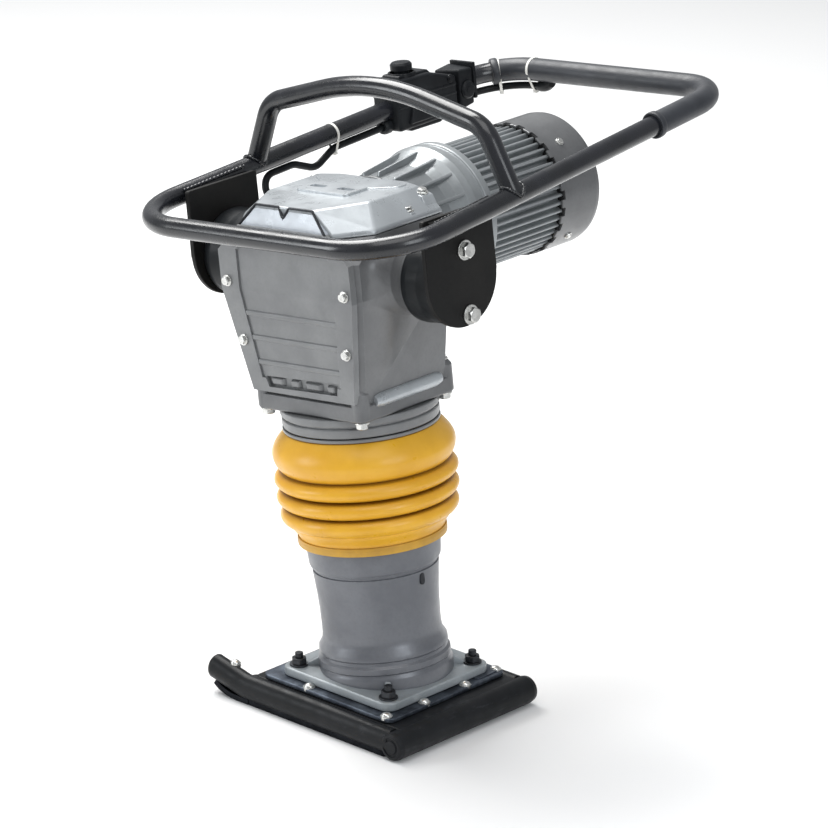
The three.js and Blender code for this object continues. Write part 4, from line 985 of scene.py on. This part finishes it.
# ------------------------------------------------------------------ switch and leads
def make_switch():
    def block(inner, outer, outline):
        return hull([across(dx, y, z) for dx in (inner, outer) for y, z in outline])

    button_x, button_y, _ = across(0, 352, 0)
    well = lathe([(0, 684), (16.4, 684), (16.4, 720), (0, 720)], at=(button_x, button_y, 0),
                 steps=48)
    side = [(318, 624), (428, 628), (428, 680), (380, 694), (318, 694)]
    parts = [minus(softened(block(-24, 24, side), 4.5, 4), well)]
    for z in (655, 667):
        parts.append(softened(block(-25, 25, ((320, z), (426, z), (426, z + 4), (320, z + 4))),
                              1.2, 2))
    deck = softened(block(-16, 16, ((326, 690), (392, 689), (384, 697), (332, 698))), 2.2, 3)
    parts.append(minus(deck, well))
    parts.append(softened(block(-20, 20, ((330, 630), (412, 632), (398, 621), (342, 620))), 3, 3))
    parts.append(softened(block(22, 29, ((334, 632), (410, 634), (404, 652), (340, 652))), 2.4, 3))
    parts.append(lathe(fillet([(16.5, 690), (19.6, 690), (18.8, 699), (16.5, 699.4)], 0.7, 3),
                       at=(button_x, button_y, 0), steps=48))
    gland_x, _, gland_z = on_rail(-1, 314, MOTOR_DROP)
    parts.append(lathe(fillet([(5.2, 306), (9, 306), (10.5, 310), (10.5, 319), (5.2, 319)], 1, 3),
                       "Y", (gland_x, 0, gland_z), 32))
    for y in (332, 416):
        screw = moved(hex_bolt(4.4, 3.4, 5.6, 1), Matrix.Rotation(pi / 2, 4, "Y"))
        parts.append(moved(screw, at(across(23.6, y, 0)[0], y, 678)))
    stand("switch_box_shell", merged(*parts), "handle", "black_plastic", ["switch_box"],
          MACHINE, 32)
    cap = fillet([(0, 694, 0), (9.8, 694), (9.8, 701), (14.8, 701.6), (15, 709.5), (12.4, 712.6),
                  (5, 713, 4), (0, 712.4, 0)], 1.4, 4)
    stem = lathe(cap, at=(button_x, button_y, 0), steps=56)
    stand("switch_button_cap", stem, "switch_button", "black_plastic", ["switch_button"])
    clamp = softened(hull([across(*p) for p in (
        (-22, 432, 634), (25, 432, 630), (25, 432, 686), (-22, 432, 682),
        (-22, 460, 640), (22, 460, 634), (22, 460, 684), (-22, 460, 686))]), 3.2, 3)
    face = across(26, 446, 0)[0]
    knob = lathe(fillet([(0, face - 6, 0), (12.5, face - 6), (12.5, face), (10, face + 2.4),
                         (0, face + 2.8, 0)], 1.2, 3), "X", (0, 446, 656), 44)
    dimple = lathe([(0, face + 1), (5.5, face + 1), (5.0, face + 3.1), (0, face + 3.3)], "X",
                   (0, 446, 656), 30)
    ring = softened(hull([across(dx, y, z) for dx in (-21.5, 21.5) for y in (462, 467)
                          for z in (640, 690)]), 1.2, 2)
    stand("lead_clamp_body", merged(clamp, knob, dimple, ring), "handle", "black_plastic",
          ["lead_clamp"])


def rounded_cord(name, corners, body, nodes):
    path = bent(corners, 12, 8)
    made = stand(name, sweep(path, 4.9, 16), body, "rubber", nodes, MACHINE, 60)
    made.modifiers.clear()
    return made, path


def tie(spot, along, bar, drop):
    """A nylon tie round the bar and the lead that hangs drop below the bar's centre."""
    across_it = along.cross(Vector((0, 0, 1))).normalized()
    up = across_it.cross(along)
    lead = [Vector((5.4 * cos(a), 5.4 * sin(a) - drop))
            for a in (radians(205 + 130 * k / 8) for k in range(9))]
    outline = [Vector((bar * cos(a), bar * sin(a)))
               for a in (radians(-10 + 200 * k / 16) for k in range(17))] + lead
    middle = Vector((0, -drop / 2))
    verts, faces, count = [], [], len(outline)
    for half in (-1.9, 1.9):
        for grow in (0.1, 0.9):
            for point in outline:
                push = point + (point - middle).normalized() * grow
                verts.append(spot + across_it * push.x + up * push.y + along * half)
    for k in range(count):
        n = (k + 1) % count
        a, b, c, d = 0, count, 2 * count, 3 * count
        faces += [(a + k, a + n, c + n, c + k), (b + k, d + k, d + n, b + n),
                  (a + k, b + k, b + n, a + n), (c + k, c + n, d + n, d + k)]
    head = brick((-3, 3), (-2.8, 2.8), (-2.2, 2.2), 0.6, 2)
    turn = Matrix((across_it, along, up)).transposed().to_4x4()
    return merged(mesh_of(verts, faces),
                  moved(head, Matrix.Translation(spot - up * (drop + 7.4)) @ turn))


def make_leads():
    under = MOTOR_DROP
    corners = [(*on_rail(-1, 317.1, under), 0), (*on_rail(-1, 218, under), 30),
               (*on_rail(-1, 182, under + 17), 24), (*on_rail(-1, 144, under), 30),
               (*on_rail(-1, 84, under), 22), (-206, 88, 560, 26), (-176, 143, 530, 22),
               (-136.3, 143, 530, 0)]
    lead, path = rounded_cord("motor_lead_cable", corners, None, ["motor_lead"])
    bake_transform(lead)
    under = SUPPLY_DROP
    corners = [(*on_rail(-1, 428.9, under), 0), (*on_rail(-1, REAR, under), REAR_CORNER),
               (*on_loop(-122, REAR, under), 0)]
    supply, path = rounded_cord("supply_lead_cable", corners, "handle", ["supply_lead"])
    boot = sweep([(Vector(on_loop(x, REAR, under - rise)), Vector((1, 0, 0)))
                  for x, rise in ((-132, 0), (-126, 0), (-119, 1.5), (-112, 4), (-106, 7))],
                 [6.2, 7.4, 8.2, 8.4, 7.0], 24)
    stand("supply_lead_boot", boot, "handle", "rubber")
    whole = bent([(*on_rail(-1, 150), 0), (*on_rail(-1, REAR), REAR_CORNER),
                  (*on_loop(0, REAR), 0)], 18, 6)
    ties = []
    for x, y, bar, drop in ((-222, 214, TUBE_R, MOTOR_DROP), (-186, 516, 15.5, SUPPLY_DROP),
                            (-140, REAR, 15.5, SUPPLY_DROP)):
        spot, along = min(whole, key=lambda s: (s[0].x - x) ** 2 + (s[0].y - y) ** 2)
        ties.append(tie(spot, along, bar, drop))
    stand("lead_ties", merged(*ties), "handle", "tie_nylon", (), MACHINE, 40)


# ------------------------------------------------------------------ stage
def make_stage():
    scene = bpy.context.scene
    scene.view_settings.view_transform = "Standard"
    scene.view_settings.look = "None"
    scene.view_settings.exposure = 0.0
    toward_camera = Vector((0.6384, -0.6846, 0.3518)).normalized()
    target = Vector((0.02699, 0.02517, 0.4054))

    def placed(name, data, spot, facing):
        made = bpy.data.objects.new(name, data)
        made.location = spot
        made.rotation_mode = "QUATERNION"
        made.rotation_quaternion = facing.to_track_quat("-Z", "Y")
        scene.collection.objects.link(made)
        return made

    lens = bpy.data.cameras.new("camera")
    lens.lens, lens.sensor_width = 236.9, 36
    lens.clip_start, lens.clip_end = 0.1, 200
    scene.camera = placed("camera", lens, target + toward_camera * 7.0, -toward_camera)

    half = 60
    floor = object_of(prism(rect(-half, half, -half, half), "Z", -0.1, 0), "floor")
    s = Surface("floor_paint")
    s.shader.inputs["Specular IOR Level"].default_value = 0.1
    s.finish(s.mix(s.ramp(s.noise(900), 0.3, 0.7), (0.86, 0.86, 0.86), (0.85, 0.85, 0.85)),
             s.ramp(s.noise(400), 0.3, 0.7, 0.6, 0.75))
    floor.data.materials.append(s.material)

    world = bpy.data.worlds.new("studio")
    world.use_nodes = True
    scene.world = world
    nodes, links = world.node_tree.nodes, world.node_tree.links
    sky = nodes["Background"]
    sky.inputs["Color"].default_value = (0.95, 0.97, 1.0, 1)
    rays = nodes.new("ShaderNodeLightPath")
    level = nodes.new("ShaderNodeMapRange")
    level.inputs["To Min"].default_value = 0.42
    level.inputs["To Max"].default_value = 1.2
    links.new(rays.outputs["Is Camera Ray"], level.inputs["Value"])
    links.new(level.outputs["Result"], sky.inputs["Strength"])

    def lamp(name, spot, size, power, colour):
        light = bpy.data.lights.new(name, "AREA")
        light.shape = "RECTANGLE"
        light.size, light.size_y = size
        light.energy = power
        light.color = colour
        placed(name, light, spot, Vector((0, 0, 0.4)) - Vector(spot))

    lamp("overhead", (-1.7, 0.5, 3.1), (2.2, 2.2), 160, (1, 0.995, 0.98))
    lamp("top_front", (0.8, -0.8, 3.8), (2.4, 2.4), 40, (1, 1, 1))
    lamp("right_front", (3.2, -0.6, 2.0), (1.4, 1.8), 34, (0.93, 0.97, 1))
    lamp("left_front", (-2.4, -3.0, 1.5), (1.2, 1.6), 42, (0.95, 0.98, 1))


# ------------------------------------------------------------------ everything
make_stage()
make_shoe()
make_leg()
make_bellows()
make_gearcase()
make_front_cover()
make_top_cover()
make_motor()
make_tubes()
make_mounts()
make_switch()
make_leads()

slots = {part["node"]: part["material_slot"] for part in frame["record"]["subparts"]}
for name, node in frame["nodes"].items():
    node.data.materials.clear()
    node.data.materials.append(MATERIALS[slots[name]])
